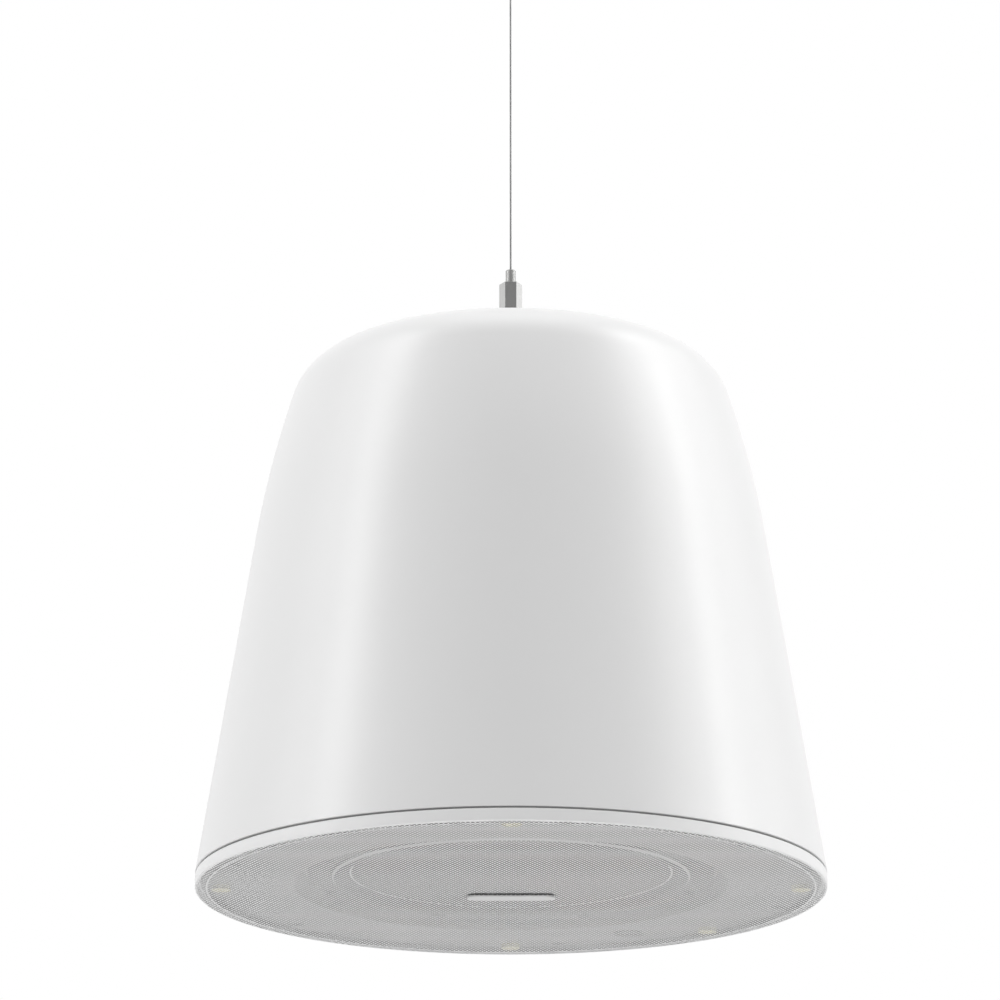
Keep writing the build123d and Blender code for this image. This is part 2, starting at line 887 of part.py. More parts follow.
def make_coil():
    inside = 0.2
    low = core_bottom + core_leg + inside
    high = core_top - core_leg - inside
    length = 2 * core_leg + 2 * window_width - 2 * inside
    width = core_width + 2 * coil_overhang
    wound = fillet(block(length, width, low, high).edges().filter_by(Axis.Z), 4.0)
    wound -= block(2 * core_leg + 2 * inside, core_width + 2 * inside, low, high)
    side_cut = block(core_length * 2, core_width + 2 * inside, low, high)
    middle = block(length, core_width + 2 * inside, low, high)
    wound -= side_cut - middle
    return Pos(0, -core_offset, 0) * wound


def make_strap():
    # The strap goes round the core's ends and its feet are fixed to the plate.
    half = core_length / 2 + sliding_gap
    low = core_bottom - sliding_gap
    outer = block(2 * (half + strap_thickness), strap_width, low - strap_thickness, chassis_bottom)
    outer -= block(2 * half, core_width, low, chassis_bottom)
    for side in (-1, 1):
        middle = side * (half + strap_thickness / 2 + strap_foot / 2)
        foot_low = chassis_bottom - strap_thickness
        foot = block(strap_foot, strap_width, foot_low, chassis_bottom, middle)
        hole_x = middle + side * strap_thickness / 2
        outer += foot - rod(strap_hole_radius, low, chassis_bottom, hole_x)
    return Pos(0, -core_offset, 0) * outer


def make_terminal_block():
    body = block(block_length, block_width, chassis_bottom - block_height, chassis_bottom)
    pitch = block_length / block_poles
    for k in range(block_poles):
        x = (k + 0.5) * pitch - block_length / 2
        entry_low = chassis_bottom - 0.75 * block_height
        body -= block(pitch * 0.6, 6.0, entry_low, entry_low + 6, x, block_width / 2 - 3)
        body -= rod(pitch * 0.25, chassis_bottom - block_height, chassis_bottom - block_height + 5, x, -2)
    return Pos(0, block_offset, 0) * body


def make_lining():
    face = bell_wall + loose_gap
    lining_top = bell_height - lining_drop
    lining = bell_solid(face, lining_bottom) - bell_solid(face + lining_thickness, lining_bottom)
    return lining & rod(bell_radius, lining_bottom, lining_top)


# Hanger
stud_bottom = pad_face - load_plate_thickness - nut_height - stud_tail
stud_top = hanger_base + stud_engagement
nut_top = pad_face - load_plate_thickness


def make_load_plate():
    return tube(stud_radius + loose_gap, load_plate_radius, nut_top, pad_face)


def make_hanger_nut():
    return hexagon(nut_across, nut_top - nut_height, nut_top) - rod(
        stud_radius + thread_gap, nut_top - nut_height, nut_top
    )


def make_stud():
    return tube(stud_bore, stud_radius, stud_bottom, stud_top)


def make_collar():
    return turned(
        (stud_radius + sliding_gap, collar_seat),
        (collar_radius, collar_seat),
        (collar_radius, collar_seat + collar_rim),
        (collar_radius - collar_chamfer, collar_seat + collar_rim + collar_chamfer),
        (gripper_across * 0.62, hanger_base),
        (stud_radius + sliding_gap, hanger_base),
    )


# Wire gripper
grip_mouth = gripper_top - grip_mouth_depth
grip_base = grip_mouth - grip_length
plunger_shoulder = grip_mouth + 1.0 + plunger_travel
barrel_bottom = plunger_shoulder - barrel_length
ball_centre = barrel_bottom + ball_height
spring_bottom = stud_top


def make_gripper_body():
    body = hexagon(gripper_across, hanger_base, gripper_top)
    dome = turned(
        (0, hanger_base),
        (gripper_across * 0.585, hanger_base),
        (gripper_across * 0.585, gripper_top - 0.4),
        (gripper_across * 0.5, gripper_top),
        (0, gripper_top),
    )
    cavity = turned(
        (0, hanger_base),
        (stud_radius + thread_gap, hanger_base),
        (stud_radius + thread_gap, stud_top),
        (grip_base_radius, stud_top),
        (grip_base_radius, grip_base),
        (grip_mouth_radius, grip_mouth),
        (plunger_radius + 0.07, grip_mouth),
        (plunger_radius + 0.07, gripper_top),
        (0, gripper_top),
    )
    return (body & dome) - cavity


def ball_places():
    distance = rope_radius + ball_radius + thread_gap
    return around(ball_count, distance, 90.0)


def make_plunger():
    body = turned(
        (plunger_bore, barrel_bottom),
        (barrel_radius, barrel_bottom),
        (barrel_radius, plunger_shoulder),
        (plunger_radius, plunger_shoulder),
        (plunger_radius, plunger_top - 0.3),
        (plunger_radius - 0.3, plunger_top),
        (plunger_bore, plunger_top),
    )
    for k in range(ball_count):
        window = Rot(0, 90, 0) * Pos(0, 0, 1.5) * Cylinder(ball_radius + thread_gap, 3.0)
        body -= Pos(0, 0, ball_centre) * Rot(0, 0, 90 + 360.0 * k / ball_count) * window
    return body


def make_balls():
    return group([Pos(x, y, ball_centre) * Sphere(ball_radius) for x, y in ball_places()])


def make_spring():
    height = barrel_bottom - spring_bottom - 2 * spring_wire
    pitch = height / spring_turns
    path = Helix(pitch, height, spring_radius)
    start = path @ 0
    section = Plane(origin=start, z_dir=path % 0) * RegularPolygon(spring_wire, 6)
    return Pos(0, 0, spring_bottom + spring_wire) * sweep(section, path)


# Wire rope and ceiling fitting
cap_bottom = hanging_height - base_thickness - cap_height
rope_bottom = stud_top - rope_end_depth
stop_bottom = cap_bottom + cap_floor


def make_rope():
    return rod(rope_radius, rope_bottom, stop_bottom + stop_height)


def make_rope_stop():
    sleeve = tube(rope_radius, stop_radius, stop_bottom, stop_bottom + stop_height)
    return chamfer(sleeve.edges().filter_by(GeomType.CIRCLE).group_by(Axis.Z)[-1].sort_by(
        SortBy.RADIUS)[-1], 0.6)


def make_ceiling_cap():
    cavity = cap_radius - cap_wall
    top = cap_bottom + cap_height
    cap = turned(
        (cap_hole_radius, cap_bottom),
        (cap_radius - 1.5, cap_bottom),
        (cap_radius, cap_bottom + 1.5),
        (cap_radius, cap_bottom + 5),
        (cap_radius - cap_groove, cap_bottom + 5 + cap_groove),
        (cap_radius - cap_groove, cap_bottom + 6 + cap_groove),
        (cap_radius, cap_bottom + 6 + 2 * cap_groove),
        (cap_radius, top),
        (cavity, top),
        (cavity, cap_bottom + cap_floor),
        (cap_hole_radius, cap_bottom + cap_floor),
    )
    return cap


def make_ceiling_base():
    low = hanging_height - base_thickness
    spigot = cap_radius - cap_wall - thread_gap
    return turned(
        (base_hole_radius, low),
        (spigot - spigot_wall, low),
        (spigot - spigot_wall, low - ceiling_spigot_height),
        (spigot, low - ceiling_spigot_height),
        (spigot, low),
        (base_radius - 1, low),
        (base_radius, low + 1),
        (base_radius, hanging_height),
        (base_hole_radius, hanging_height),
    )


# Cable gland
gland_flange_top = gland_seat + gland_flange_height
barrel_top = gland_flange_top + gland_barrel_height
thread_bottom = gland_inside - gland_nut_height - gland_thread_end
seal_bottom = barrel_top - gland_seal_depth


def make_gland_body():
    body = hexagon(gland_flange_across, gland_seat, gland_flange_top)
    body += rod(gland_thread_radius, thread_bottom, gland_seat)
    body += rod(gland_thread_radius, gland_flange_top, barrel_top)
    body -= rod(gland_bore_radius, thread_bottom, barrel_top)
    return Pos(0, gland_offset, 0) * body


def make_gland_cap():
    low = gland_flange_top + loose_gap
    high = low + gland_cap_height
    inner = gland_thread_radius + thread_gap
    mouth_radius = gland_cable_radius + 0.6
    cap = turned(
        (inner, low),
        (gland_cap_radius, low),
        (gland_cap_radius, high - 4),
        (mouth_radius + 1.4, high),
        (mouth_radius, high),
        (mouth_radius, high - gland_cap_wall),
        (inner, barrel_top),
    )
    for x, y in around(gland_flute_count, gland_cap_radius + gland_flute_radius / 3):
        cap -= rod(gland_flute_radius, low, high - gland_cap_wall * 2, x, y)
    return Pos(0, gland_offset, 0) * cap


def make_gland_seal():
    cap_inside = gland_flange_top + loose_gap + gland_cap_height - gland_cap_wall
    outer = gland_bore_radius - thread_gap
    seal = turned(
        (gland_cable_radius, seal_bottom),
        (outer, seal_bottom),
        (outer, barrel_top),
        (gland_cable_radius + 0.5, cap_inside - 0.3),
        (gland_cable_radius, cap_inside - 0.3),
    )
    return Pos(0, gland_offset, 0) * seal


def make_gland_nut():
    low = gland_inside - gland_nut_height
    nut = hexagon(gland_flange_across, low, gland_inside)
    nut -= rod(gland_thread_radius + thread_gap, low, gland_inside)
    return Pos(0, gland_offset, 0) * nut


parts = {
    "housing_shell": make_housing,
    "rim_gasket": make_rim_gasket,
    "front_baffle": make_baffle,
    "baffle_screws": make_bell_screws,
    "edge_seal": make_edge_seal,
    "grille": make_grille,
    "grille_magnets": make_grille_magnets,
    "badge": make_badge,
    "badge_clips": make_badge_clips,
    "tap_dial": make_tap_dial,
    "tap_switch": make_tap_switch,
    "woofer_frame": make_frame,
    "woofer_gasket": make_gasket,
    "woofer_screws": make_woofer_screws,
    "woofer_surround": make_surround,
    "woofer_cone": make_cone,
    "dust_cap": make_dust_cap,
    "voice_coil": make_voice_coil,
    "woofer_spider": make_spider,
    "magnet_front_plate": make_front_plate,
    "ferrite_magnet": make_ferrite,
    "pole_yoke": make_yoke,
    "chassis_plate": make_chassis,
    "chassis_screws": make_chassis_screws,
    "transformer_core": make_core,
    "transformer_coil": make_coil,
    "transformer_strap": make_strap,
    "terminal_block": make_terminal_block,
    "damping_lining": make_lining,
    "load_plate": make_load_plate,
    "hanger_nut": make_hanger_nut,
    "hanger_stud": make_stud,
    "hanger_collar": make_collar,
    "gripper_body": make_gripper_body,
    "gripper_plunger": make_plunger,
    "gripper_balls": make_balls,
    "gripper_spring": make_spring,
    "wire_rope": make_rope,
    "rope_stop": make_rope_stop,
    "ceiling_cap": make_ceiling_cap,
    "ceiling_base": make_ceiling_base,
    "gland_body": make_gland_body,
    "gland_cap": make_gland_cap,
    "gland_seal": make_gland_seal,
    "gland_locknut": make_gland_nut,
}

os.makedirs("parts", exist_ok=True)
for name, make in parts.items():
    export_step(Pos(0, 0, -hanging_height) * make(), f"parts/{name}.step")
    print("made", name)
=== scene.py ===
import math

import bpy
import numpy as np
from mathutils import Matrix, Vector


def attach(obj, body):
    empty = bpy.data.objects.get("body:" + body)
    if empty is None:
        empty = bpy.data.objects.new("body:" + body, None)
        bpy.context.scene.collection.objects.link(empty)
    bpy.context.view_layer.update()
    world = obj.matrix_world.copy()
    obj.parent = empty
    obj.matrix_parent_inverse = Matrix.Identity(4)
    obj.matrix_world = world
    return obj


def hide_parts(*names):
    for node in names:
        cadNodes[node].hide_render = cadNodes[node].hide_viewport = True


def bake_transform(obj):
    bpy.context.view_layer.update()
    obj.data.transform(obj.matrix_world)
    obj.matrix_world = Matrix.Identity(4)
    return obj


# Pendant speaker. Sizes are in millimetres, with heights taken from the grille's outer face as in
# the CAD source; place() turns them into the frame's metres, whose origin is the ceiling.

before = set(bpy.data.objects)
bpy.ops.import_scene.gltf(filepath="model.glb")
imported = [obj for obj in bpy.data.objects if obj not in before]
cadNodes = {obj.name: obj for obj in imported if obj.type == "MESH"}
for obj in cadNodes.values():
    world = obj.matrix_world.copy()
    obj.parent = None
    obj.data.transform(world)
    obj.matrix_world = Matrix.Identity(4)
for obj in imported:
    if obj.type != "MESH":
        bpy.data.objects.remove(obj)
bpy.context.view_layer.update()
hangingHeight = 520.0
mm = 0.001
print("frame loaded,", len(cadNodes), "CAD nodes")


def place(x, y, z):
    return Vector((x * mm, y * mm, (z - hangingHeight) * mm))


# Working tools

def deselectAll():
    if bpy.context.mode != "OBJECT":
        bpy.ops.object.mode_set(mode="OBJECT")
    bpy.ops.object.select_all(action="DESELECT")


def pick(*pieces):
    deselectAll()
    for piece in pieces:
        piece.select_set(True)
    bpy.context.view_layer.objects.active = pieces[0]


def editAll(piece):
    pick(piece)
    bpy.ops.object.mode_set(mode="EDIT")
    bpy.ops.mesh.select_all(action="SELECT")


def leaveEdit():
    bpy.ops.object.mode_set(mode="OBJECT")


def selectFaces(piece, chosen):
    # leaves the piece in edit mode with just these faces selected
    editAll(piece)
    bpy.ops.mesh.select_mode(type="FACE")
    bpy.ops.mesh.select_all(action="DESELECT")
    leaveEdit()
    piece.data.polygons.foreach_set("select", chosen)
    bpy.ops.object.mode_set(mode="EDIT")


def vertexPlaces(piece):
    places = np.empty(len(piece.data.vertices) * 3)
    piece.data.vertices.foreach_get("co", places)
    return places.reshape(-1, 3)


def setPlaces(piece, places):
    piece.data.vertices.foreach_set("co", places.ravel())
    piece.data.update()


def applyPlace(piece):
    pick(piece)
    bpy.ops.object.transform_apply(location=True, rotation=True, scale=True)


def useModifier(piece, kind, **settings):
    pick(piece)
    modifier = piece.modifiers.new(kind.lower(), kind)
    for name, value in settings.items():
        setattr(modifier, name, value)
    bpy.ops.object.modifier_apply(modifier=modifier.name)


def cleanUp(piece, gap=0.002 * mm):
    editAll(piece)
    bpy.ops.mesh.remove_doubles(threshold=gap)
    bpy.ops.mesh.normals_make_consistent(inside=False)
    leaveEdit()


def smooth(piece, angle=30.0):
    pick(piece)
    bpy.ops.object.shade_smooth_by_angle(angle=math.radians(angle))


def drawnLine(name, points, closed=False, thickness=0.0):
    # a line through these places, made a mesh: bare edges, or a capped tube if it has a thickness
    drawn = bpy.data.curves.new(name, "CURVE")
    drawn.dimensions = "3D"
    drawn.bevel_depth = thickness / 2
    drawn.bevel_resolution = 1
    drawn.use_fill_caps = True
    line = drawn.splines.new("POLY")
    line.points.add(len(points) - 1)
    for target, point in zip(line.points, points):
        target.co = (*point, 1)
    line.use_cyclic_u = closed
    piece = bpy.data.objects.new(name, drawn)
    bpy.context.scene.collection.objects.link(piece)
    pick(piece)
    bpy.ops.object.convert(target="MESH")
    return bpy.context.object


def drawnSection(name, profile, around=0.0):
    # a closed half section of radii and heights, in the upright plane at this angle
    points = [place(radius * math.cos(around), radius * math.sin(around), height)
              for radius, height in profile]
    return drawnLine(name, points, closed=True)


def turnedPiece(name, profile, steps):
    piece = drawnSection(name, profile)
    editAll(piece)
    bpy.ops.mesh.spin(steps=steps, angle=2 * math.pi, center=(0, 0, 0), axis=(0, 0, 1))
    leaveEdit()
    cleanUp(piece)
    return piece


def arcPoints(centre, radius, start, end, count):
    return [
        (centre[0] + radius * math.cos(start + (end - start) * k / count),
         centre[1] + radius * math.sin(start + (end - start) * k / count))
        for k in range(count + 1)
    ]


def belongs(piece, body, slotName, *replaced):
    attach(piece, body)
    if replaced:
        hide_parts(*replaced)


# Camera: the photograph's view, from below and a little to the left of the axis

photoCamera = {"place": (-5.63, -2329.7, -503.3), "upwards": 16.969, "lens": 168.76, "sensor": 36.0}
cameraData = bpy.data.cameras.new("photoCamera")
cameraData.lens = photoCamera["lens"]
cameraData.sensor_width = photoCamera["sensor"]
camera = bpy.data.objects.new("photoCamera", cameraData)
bpy.context.scene.collection.objects.link(camera)
camera.location = place(*photoCamera["place"])
camera.rotation_euler = (math.radians(90 + photoCamera["upwards"]), 0, 0)
bpy.context.scene.camera = camera
print("camera placed")


# Materials

def newNode(tree, kind, values=None, **settings):
    # settings go to the node itself, and values to its sockets
    node = tree.nodes.new(kind)
    for settingName, value in settings.items():
        setattr(node, settingName, value)
    for socketName, value in (values or {}).items():
        node.inputs[socketName].default_value = value
    return node


def newGroup(name, ins, outs):
    group = bpy.data.node_groups.new(name, "ShaderNodeTree")
    for socketName, kind, value in ins:
        socket = group.interface.new_socket(name=socketName, in_out="INPUT", socket_type=kind)
        if value is not None:
            socket.default_value = value
    for socketName, kind in outs:
        group.interface.new_socket(name=socketName, in_out="OUTPUT", socket_type=kind)
    return group, newNode(group, "NodeGroupInput"), newNode(group, "NodeGroupOutput")


def mouldedGroup():
    # a moulded or coated surface: fine grain in its height, slow blotches in tint and roughness
    group, first, last = newGroup(
        "mouldedSurface",
        [("Vector", "NodeSocketVector", None), ("Grain", "NodeSocketFloat", 1600.0),
         ("Blotch", "NodeSocketFloat", 14.0), ("Colour", "NodeSocketColor", (0.8, 0.8, 0.8, 1)),
         ("Shade", "NodeSocketColor", (0.77, 0.77, 0.77, 1)),
         ("Rough low", "NodeSocketFloat", 0.35), ("Rough high", "NodeSocketFloat", 0.42)],
        [("Colour", "NodeSocketColor"), ("Roughness", "NodeSocketFloat"),
         ("Height", "NodeSocketFloat")],
    )
    link = group.links.new
    grain = newNode(group, "ShaderNodeTexNoise", {"Detail": 2.0})
    blotch = newNode(group, "ShaderNodeTexNoise", {"Detail": 4.0, "Roughness": 0.6})
    spread = newNode(group, "ShaderNodeMapRange", {"From Min": 0.35, "From Max": 0.65})
    rough = newNode(group, "ShaderNodeMapRange", {"From Min": 0.3, "From Max": 0.7})
    tint = newNode(group, "ShaderNodeMix", data_type="RGBA")
    link(first.outputs["Vector"], grain.inputs["Vector"])
    link(first.outputs["Grain"], grain.inputs["Scale"])
    link(first.outputs["Vector"], blotch.inputs["Vector"])
    link(first.outputs["Blotch"], blotch.inputs["Scale"])
    link(blotch.outputs["Fac"], spread.inputs["Value"])
    link(spread.outputs["Result"], tint.inputs["Factor"])
    link(first.outputs["Shade"], tint.inputs["A"])
    link(first.outputs["Colour"], tint.inputs["B"])
    link(blotch.outputs["Fac"], rough.inputs["Value"])
    link(first.outputs["Rough high"], rough.inputs["To Min"])
    link(first.outputs["Rough low"], rough.inputs["To Max"])
    link(tint.outputs["Result"], last.inputs["Colour"])
    link(rough.outputs["Result"], last.inputs["Roughness"])
    link(grain.outputs["Fac"], last.inputs["Height"])
    return group


def turnedGroup():
    # fine tool marks that run round the speaker's axis, as on turned and drawn metal
    group, first, last = newGroup(
        "turnedMarks",
        [("Vector", "NodeSocketVector", None), ("Fineness", "NodeSocketFloat", 9000.0),
         ("Along", "NodeSocketFloat", 0.02), ("Rough low", "NodeSocketFloat", 0.2),
         ("Rough high", "NodeSocketFloat", 0.3)],
        [("Roughness", "NodeSocketFloat"), ("Height", "NodeSocketFloat")],
    )
    link = group.links.new
    apart = newNode(group, "ShaderNodeSeparateXYZ")
    together = newNode(group, "ShaderNodeCombineXYZ")
    marks = newNode(group, "ShaderNodeTexNoise", {"Detail": 3.0})
    rough = newNode(group, "ShaderNodeMapRange", {"From Min": 0.3, "From Max": 0.7})
    link(first.outputs["Vector"], apart.inputs["Vector"])
    for axis in ("X", "Y"):
        shrink = newNode(group, "ShaderNodeMath", operation="MULTIPLY")
        link(apart.outputs[axis], shrink.inputs[0])
        link(first.outputs["Along"], shrink.inputs[1])
        link(shrink.outputs["Value"], together.inputs[axis])
    link(apart.outputs["Z"], together.inputs["Z"])
    link(together.outputs["Vector"], marks.inputs["Vector"])
    link(first.outputs["Fineness"], marks.inputs["Scale"])
    link(marks.outputs["Fac"], rough.inputs["Value"])
    link(first.outputs["Rough low"], rough.inputs["To Min"])
    link(first.outputs["Rough high"], rough.inputs["To Max"])
    link(rough.outputs["Result"], last.inputs["Roughness"])
    link(marks.outputs["Fac"], last.inputs["Height"])
    return group


def weaveGroup():
    # threads that cross at right angles, over and under each other
    group, first, last = newGroup(
        "crossedThreads",
        [("Vector", "NodeSocketVector", None), ("Threads", "NodeSocketFloat", 300.0)],
        [("Height", "NodeSocketFloat")],
    )
    link = group.links.new
    higher = newNode(group, "ShaderNodeMath", operation="MAXIMUM")
    for k, direction in enumerate(("X", "Y")):
        wave = newNode(group, "ShaderNodeTexWave", {"Distortion": 0.6, "Detail": 1.0},
                       wave_type="BANDS", bands_direction=direction)
        link(first.outputs["Vector"], wave.inputs["Vector"])
        link(first.outputs["Threads"], wave.inputs["Scale"])
        link(wave.outputs["Fac"], higher.inputs[k])
    link(higher.outputs["Value"], last.inputs["Height"])
    return group


mouldedSurface = mouldedGroup()
turnedMarks = turnedGroup()
crossedThreads = weaveGroup()


def mouldedMaterial(name, look):
    material = bpy.data.materials.new(name)
    material.use_nodes = True
    tree = material.node_tree
    link = tree.links.new
    roughLow, roughHigh = look["rough"]
    shader = tree.nodes["Principled BSDF"]
    shader.inputs["Metallic"].default_value = look.get("metallic", 0.0)
    shader.inputs["IOR"].default_value = 1.5
    shader.inputs["Coat Weight"].default_value = look.get("coat", 0.0)
    shader.inputs["Coat Roughness"].default_value = look.get("coatRoughness", 0.1)
    where = newNode(tree, "ShaderNodeTexCoord")
    surface = newNode(tree, "ShaderNodeGroup", {
        "Grain": look.get("grain", 1600.0), "Blotch": look.get("blotch", 14.0),
        "Colour": (*look["colour"], 1), "Shade": (*look["shade"], 1),
        "Rough low": roughLow, "Rough high": roughHigh,
    }, node_tree=mouldedSurface)
    bump = newNode(tree, "ShaderNodeBump", {
        "Strength": look.get("bump", 0.2), "Distance": look.get("depth", 0.02) * mm,
    })
    link(where.outputs["Object"], surface.inputs["Vector"])
    link(surface.outputs["Colour"], shader.inputs["Base Color"])
    link(surface.outputs["Roughness"], shader.inputs["Roughness"])
    link(surface.outputs["Height"], bump.inputs["Height"])
    link(bump.outputs["Normal"], shader.inputs["Normal"])
    if "turned" in look:
        marks = newNode(tree, "ShaderNodeGroup", {
            "Fineness": look["turned"], "Rough low": roughLow, "Rough high": roughHigh,
        }, node_tree=turnedMarks)
        link(where.outputs["Object"], marks.inputs["Vector"])
        link(marks.outputs["Roughness"], shader.inputs["Roughness"])
        link(marks.outputs["Height"], bump.inputs["Height"])
    if "threads" in look:
        threads = newNode(tree, "ShaderNodeGroup", {"Threads": look["threads"]},
                          node_tree=crossedThreads)
        link(where.outputs["Object"], threads.inputs["Vector"])
        link(threads.outputs["Height"], bump.inputs["Height"])
    return material


def recolourBand(material, near, far, colour, blur=0.1):
    # what lies between these two distances from the speaker's axis takes the other colour
    tree = material.node_tree
    link = tree.links.new
    shader = tree.nodes["Principled BSDF"]
    plain = shader.inputs["Base Color"].links[0].from_socket
    where = newNode(tree, "ShaderNodeTexCoord")
    flat = newNode(tree, "ShaderNodeVectorMath", {1: (1, 1, 0)}, operation="MULTIPLY")
    reach = newNode(tree, "ShaderNodeVectorMath", operation="LENGTH")
    inside = newNode(tree, "ShaderNodeMath", operation="MULTIPLY")
    tint = newNode(tree, "ShaderNodeMix", {"B": (*colour, 1)}, data_type="RGBA")
    link(where.outputs["Object"], flat.inputs[0])
    link(flat.outputs["Vector"], reach.inputs[0])
    for k, (edge, side) in enumerate(((near, 1), (far, -1))):
        mask = newNode(tree, "ShaderNodeMapRange", {
            "From Min": (edge - side * blur) * mm, "From Max": (edge + side * blur) * mm,
        })
        link(reach.outputs["Value"], mask.inputs["Value"])
        link(mask.outputs["Result"], inside.inputs[k])
    link(inside.outputs["Value"], tint.inputs["Factor"])
    link(plain, tint.inputs["A"])
    link(tint.outputs["Result"], shader.inputs["Base Color"])


def letLightIn(material, share, depth):
    # this share of the light enters the moulding and comes out again a little way off
    shader = material.node_tree.nodes["Principled BSDF"]
    shader.inputs["Subsurface Weight"].default_value = share
    shader.inputs["Subsurface Radius"].default_value = (1.0, 1.0, 1.0)
    shader.inputs["Subsurface Scale"].default_value = depth * mm


looks = {
    "whiteShell": {"colour": (0.80, 0.80, 0.80), "shade": (0.79, 0.79, 0.79), "rough": (0.34, 0.38),
                   "coat": 0.5, "coatRoughness": 0.3, "bump": 0.1, "depth": 0.004},
    "whiteRim": {"colour": (0.86, 0.86, 0.86), "shade": (0.84, 0.84, 0.84), "rough": (0.34, 0.4),
                 "bump": 0.1, "depth": 0.004},
    "baffle": {"colour": (0.86, 0.86, 0.86), "shade": (0.84, 0.84, 0.84), "rough": (0.34, 0.4),
               "bump": 0.1, "depth": 0.004},
    "powderCoat": {"colour": (0.87, 0.87, 0.87), "shade": (0.84, 0.84, 0.84),
                   "rough": (0.5, 0.6), "grain": 2600.0, "bump": 0.3, "depth": 0.01},
    "plate": {"colour": (0.66, 0.66, 0.66), "shade": (0.63, 0.63, 0.63), "rough": (0.25, 0.32),
              "bump": 0.1, "depth": 0.005},
    "blackFoam": {"colour": (0.025, 0.025, 0.025), "shade": (0.012, 0.012, 0.012),
                  "rough": (0.85, 0.95), "grain": 3000.0, "bump": 0.9, "depth": 0.1},
    "greyFoam": {"colour": (0.36, 0.36, 0.36), "shade": (0.30, 0.30, 0.30),
                 "rough": (0.85, 0.95), "grain": 3000.0, "bump": 0.9, "depth": 0.1},
    "blackPlastic": {"colour": (0.03, 0.03, 0.03), "shade": (0.02, 0.02, 0.02),
                     "rough": (0.4, 0.5), "bump": 0.2},
    "dialGrey": {"colour": (0.10, 0.10, 0.105), "shade": (0.07, 0.07, 0.075), "rough": (0.4, 0.5)},
    "yellowZinc": {"colour": (0.80, 0.74, 0.34), "shade": (0.72, 0.66, 0.38), "rough": (0.2, 0.3),
                   "metallic": 0.6, "blotch": 160.0},
    "zincScrew": {"colour": (0.55, 0.56, 0.57), "shade": (0.45, 0.46, 0.48), "rough": (0.25, 0.4),
                  "metallic": 1.0, "blotch": 260.0},
    "blackScrew": {"colour": (0.10, 0.10, 0.105), "shade": (0.06, 0.06, 0.065),
                   "rough": (0.35, 0.5), "metallic": 0.8, "blotch": 260.0},
    "castFrame": {"colour": (0.045, 0.045, 0.05), "shade": (0.03, 0.03, 0.03),
                  "rough": (0.45, 0.6), "grain": 1200.0, "bump": 0.5, "depth": 0.06},
    "darkGasket": {"colour": (0.10, 0.10, 0.10), "shade": (0.08, 0.08, 0.08),
                   "rough": (0.7, 0.8), "bump": 0.5, "depth": 0.05},
    "rollRubber": {"colour": (0.02, 0.02, 0.02), "shade": (0.014, 0.014, 0.014),
                   "rough": (0.45, 0.6), "bump": 0.3, "depth": 0.03},
    "conePaper": {"colour": (0.09, 0.09, 0.09), "shade": (0.06, 0.06, 0.06),
                  "rough": (0.75, 0.9), "grain": 900.0, "bump": 0.8, "depth": 0.1},
    "coilCopper": {"colour": (0.72, 0.36, 0.18), "shade": (0.6, 0.28, 0.12), "rough": (0.25, 0.4),
                   "metallic": 1.0},
    "spiderCloth": {"colour": (0.62, 0.46, 0.22), "shade": (0.5, 0.35, 0.15),
                    "rough": (0.8, 0.9), "grain": 1500.0, "threads": 420.0, "bump": 0.8,
                    "depth": 0.1},
    "platedSteel": {"colour": (0.52, 0.52, 0.52), "shade": (0.42, 0.43, 0.45),
                    "rough": (0.3, 0.45), "metallic": 1.0, "blotch": 40.0},
    "ferrite": {"colour": (0.05, 0.05, 0.052), "shade": (0.03, 0.03, 0.032), "rough": (0.55, 0.7),
                "grain": 2000.0, "bump": 0.5, "depth": 0.05},
    "coreSteel": {"colour": (0.12, 0.12, 0.14), "shade": (0.06, 0.06, 0.07), "rough": (0.4, 0.6),
                  "metallic": 0.6, "bump": 0.5, "depth": 0.05},
    "coilTape": {"colour": (0.75, 0.55, 0.06), "shade": (0.65, 0.45, 0.05), "rough": (0.2, 0.3)},
    "felt": {"colour": (0.62, 0.62, 0.6), "shade": (0.5, 0.5, 0.48), "rough": (0.9, 1.0),
             "grain": 500.0, "threads": 260.0, "bump": 1.0, "depth": 0.6},
    "nickel": {"colour": (0.57, 0.57, 0.565), "shade": (0.54, 0.54, 0.535), "rough": (0.17, 0.23),
               "metallic": 1.0, "blotch": 120.0, "turned": 9000.0, "bump": 0.15, "depth": 0.004},
    "satinNickel": {"colour": (0.42, 0.42, 0.415), "shade": (0.39, 0.39, 0.385),
                    "rough": (0.5, 0.56), "metallic": 1.0, "blotch": 120.0, "turned": 9000.0,
                    "bump": 0.15, "depth": 0.004},
    "ropeSteel": {"colour": (0.36, 0.36, 0.36), "shade": (0.30, 0.30, 0.30), "rough": (0.5, 0.6),
                  "metallic": 0.5},
    "whiteNylon": {"colour": (0.76, 0.76, 0.74), "shade": (0.7, 0.7, 0.68), "rough": (0.4, 0.5),
                   "bump": 0.2},
}
finish = {name: mouldedMaterial(name, look) for name, look in looks.items()}
# Inside the rim the baffle is painted dark grey: partly its own paint, partly painted shade where
# it lies behind the grille
rim = {"inner": 157.0, "insidePaintAndShade": (0.20, 0.20, 0.20), "lightShare": 0.6, "lightDepth": 2.0}
recolourBand(finish["baffle"], -1.0, rim["inner"], rim["insidePaintAndShade"])  # only the rim is white; inside it the baffle is dark grey, partly its own paint and partly painted shade behind the grille
letLightIn(finish["baffle"], rim["lightShare"], rim["lightDepth"])
# Painted highlights on the black rubber roll: pale rings at its two edges stand in for the light it
# catches
paintedHighlight = {"highlightRings": ((89.9, 90.9), (81.0, 82.0)), "colour": (0.6, 0.6, 0.6)}
for near, far in paintedHighlight["highlightRings"]:
    recolourBand(finish["rollRubber"], near, far, paintedHighlight["colour"])  # painted highlights: pale rings along the roll's edges where the rubber catches light
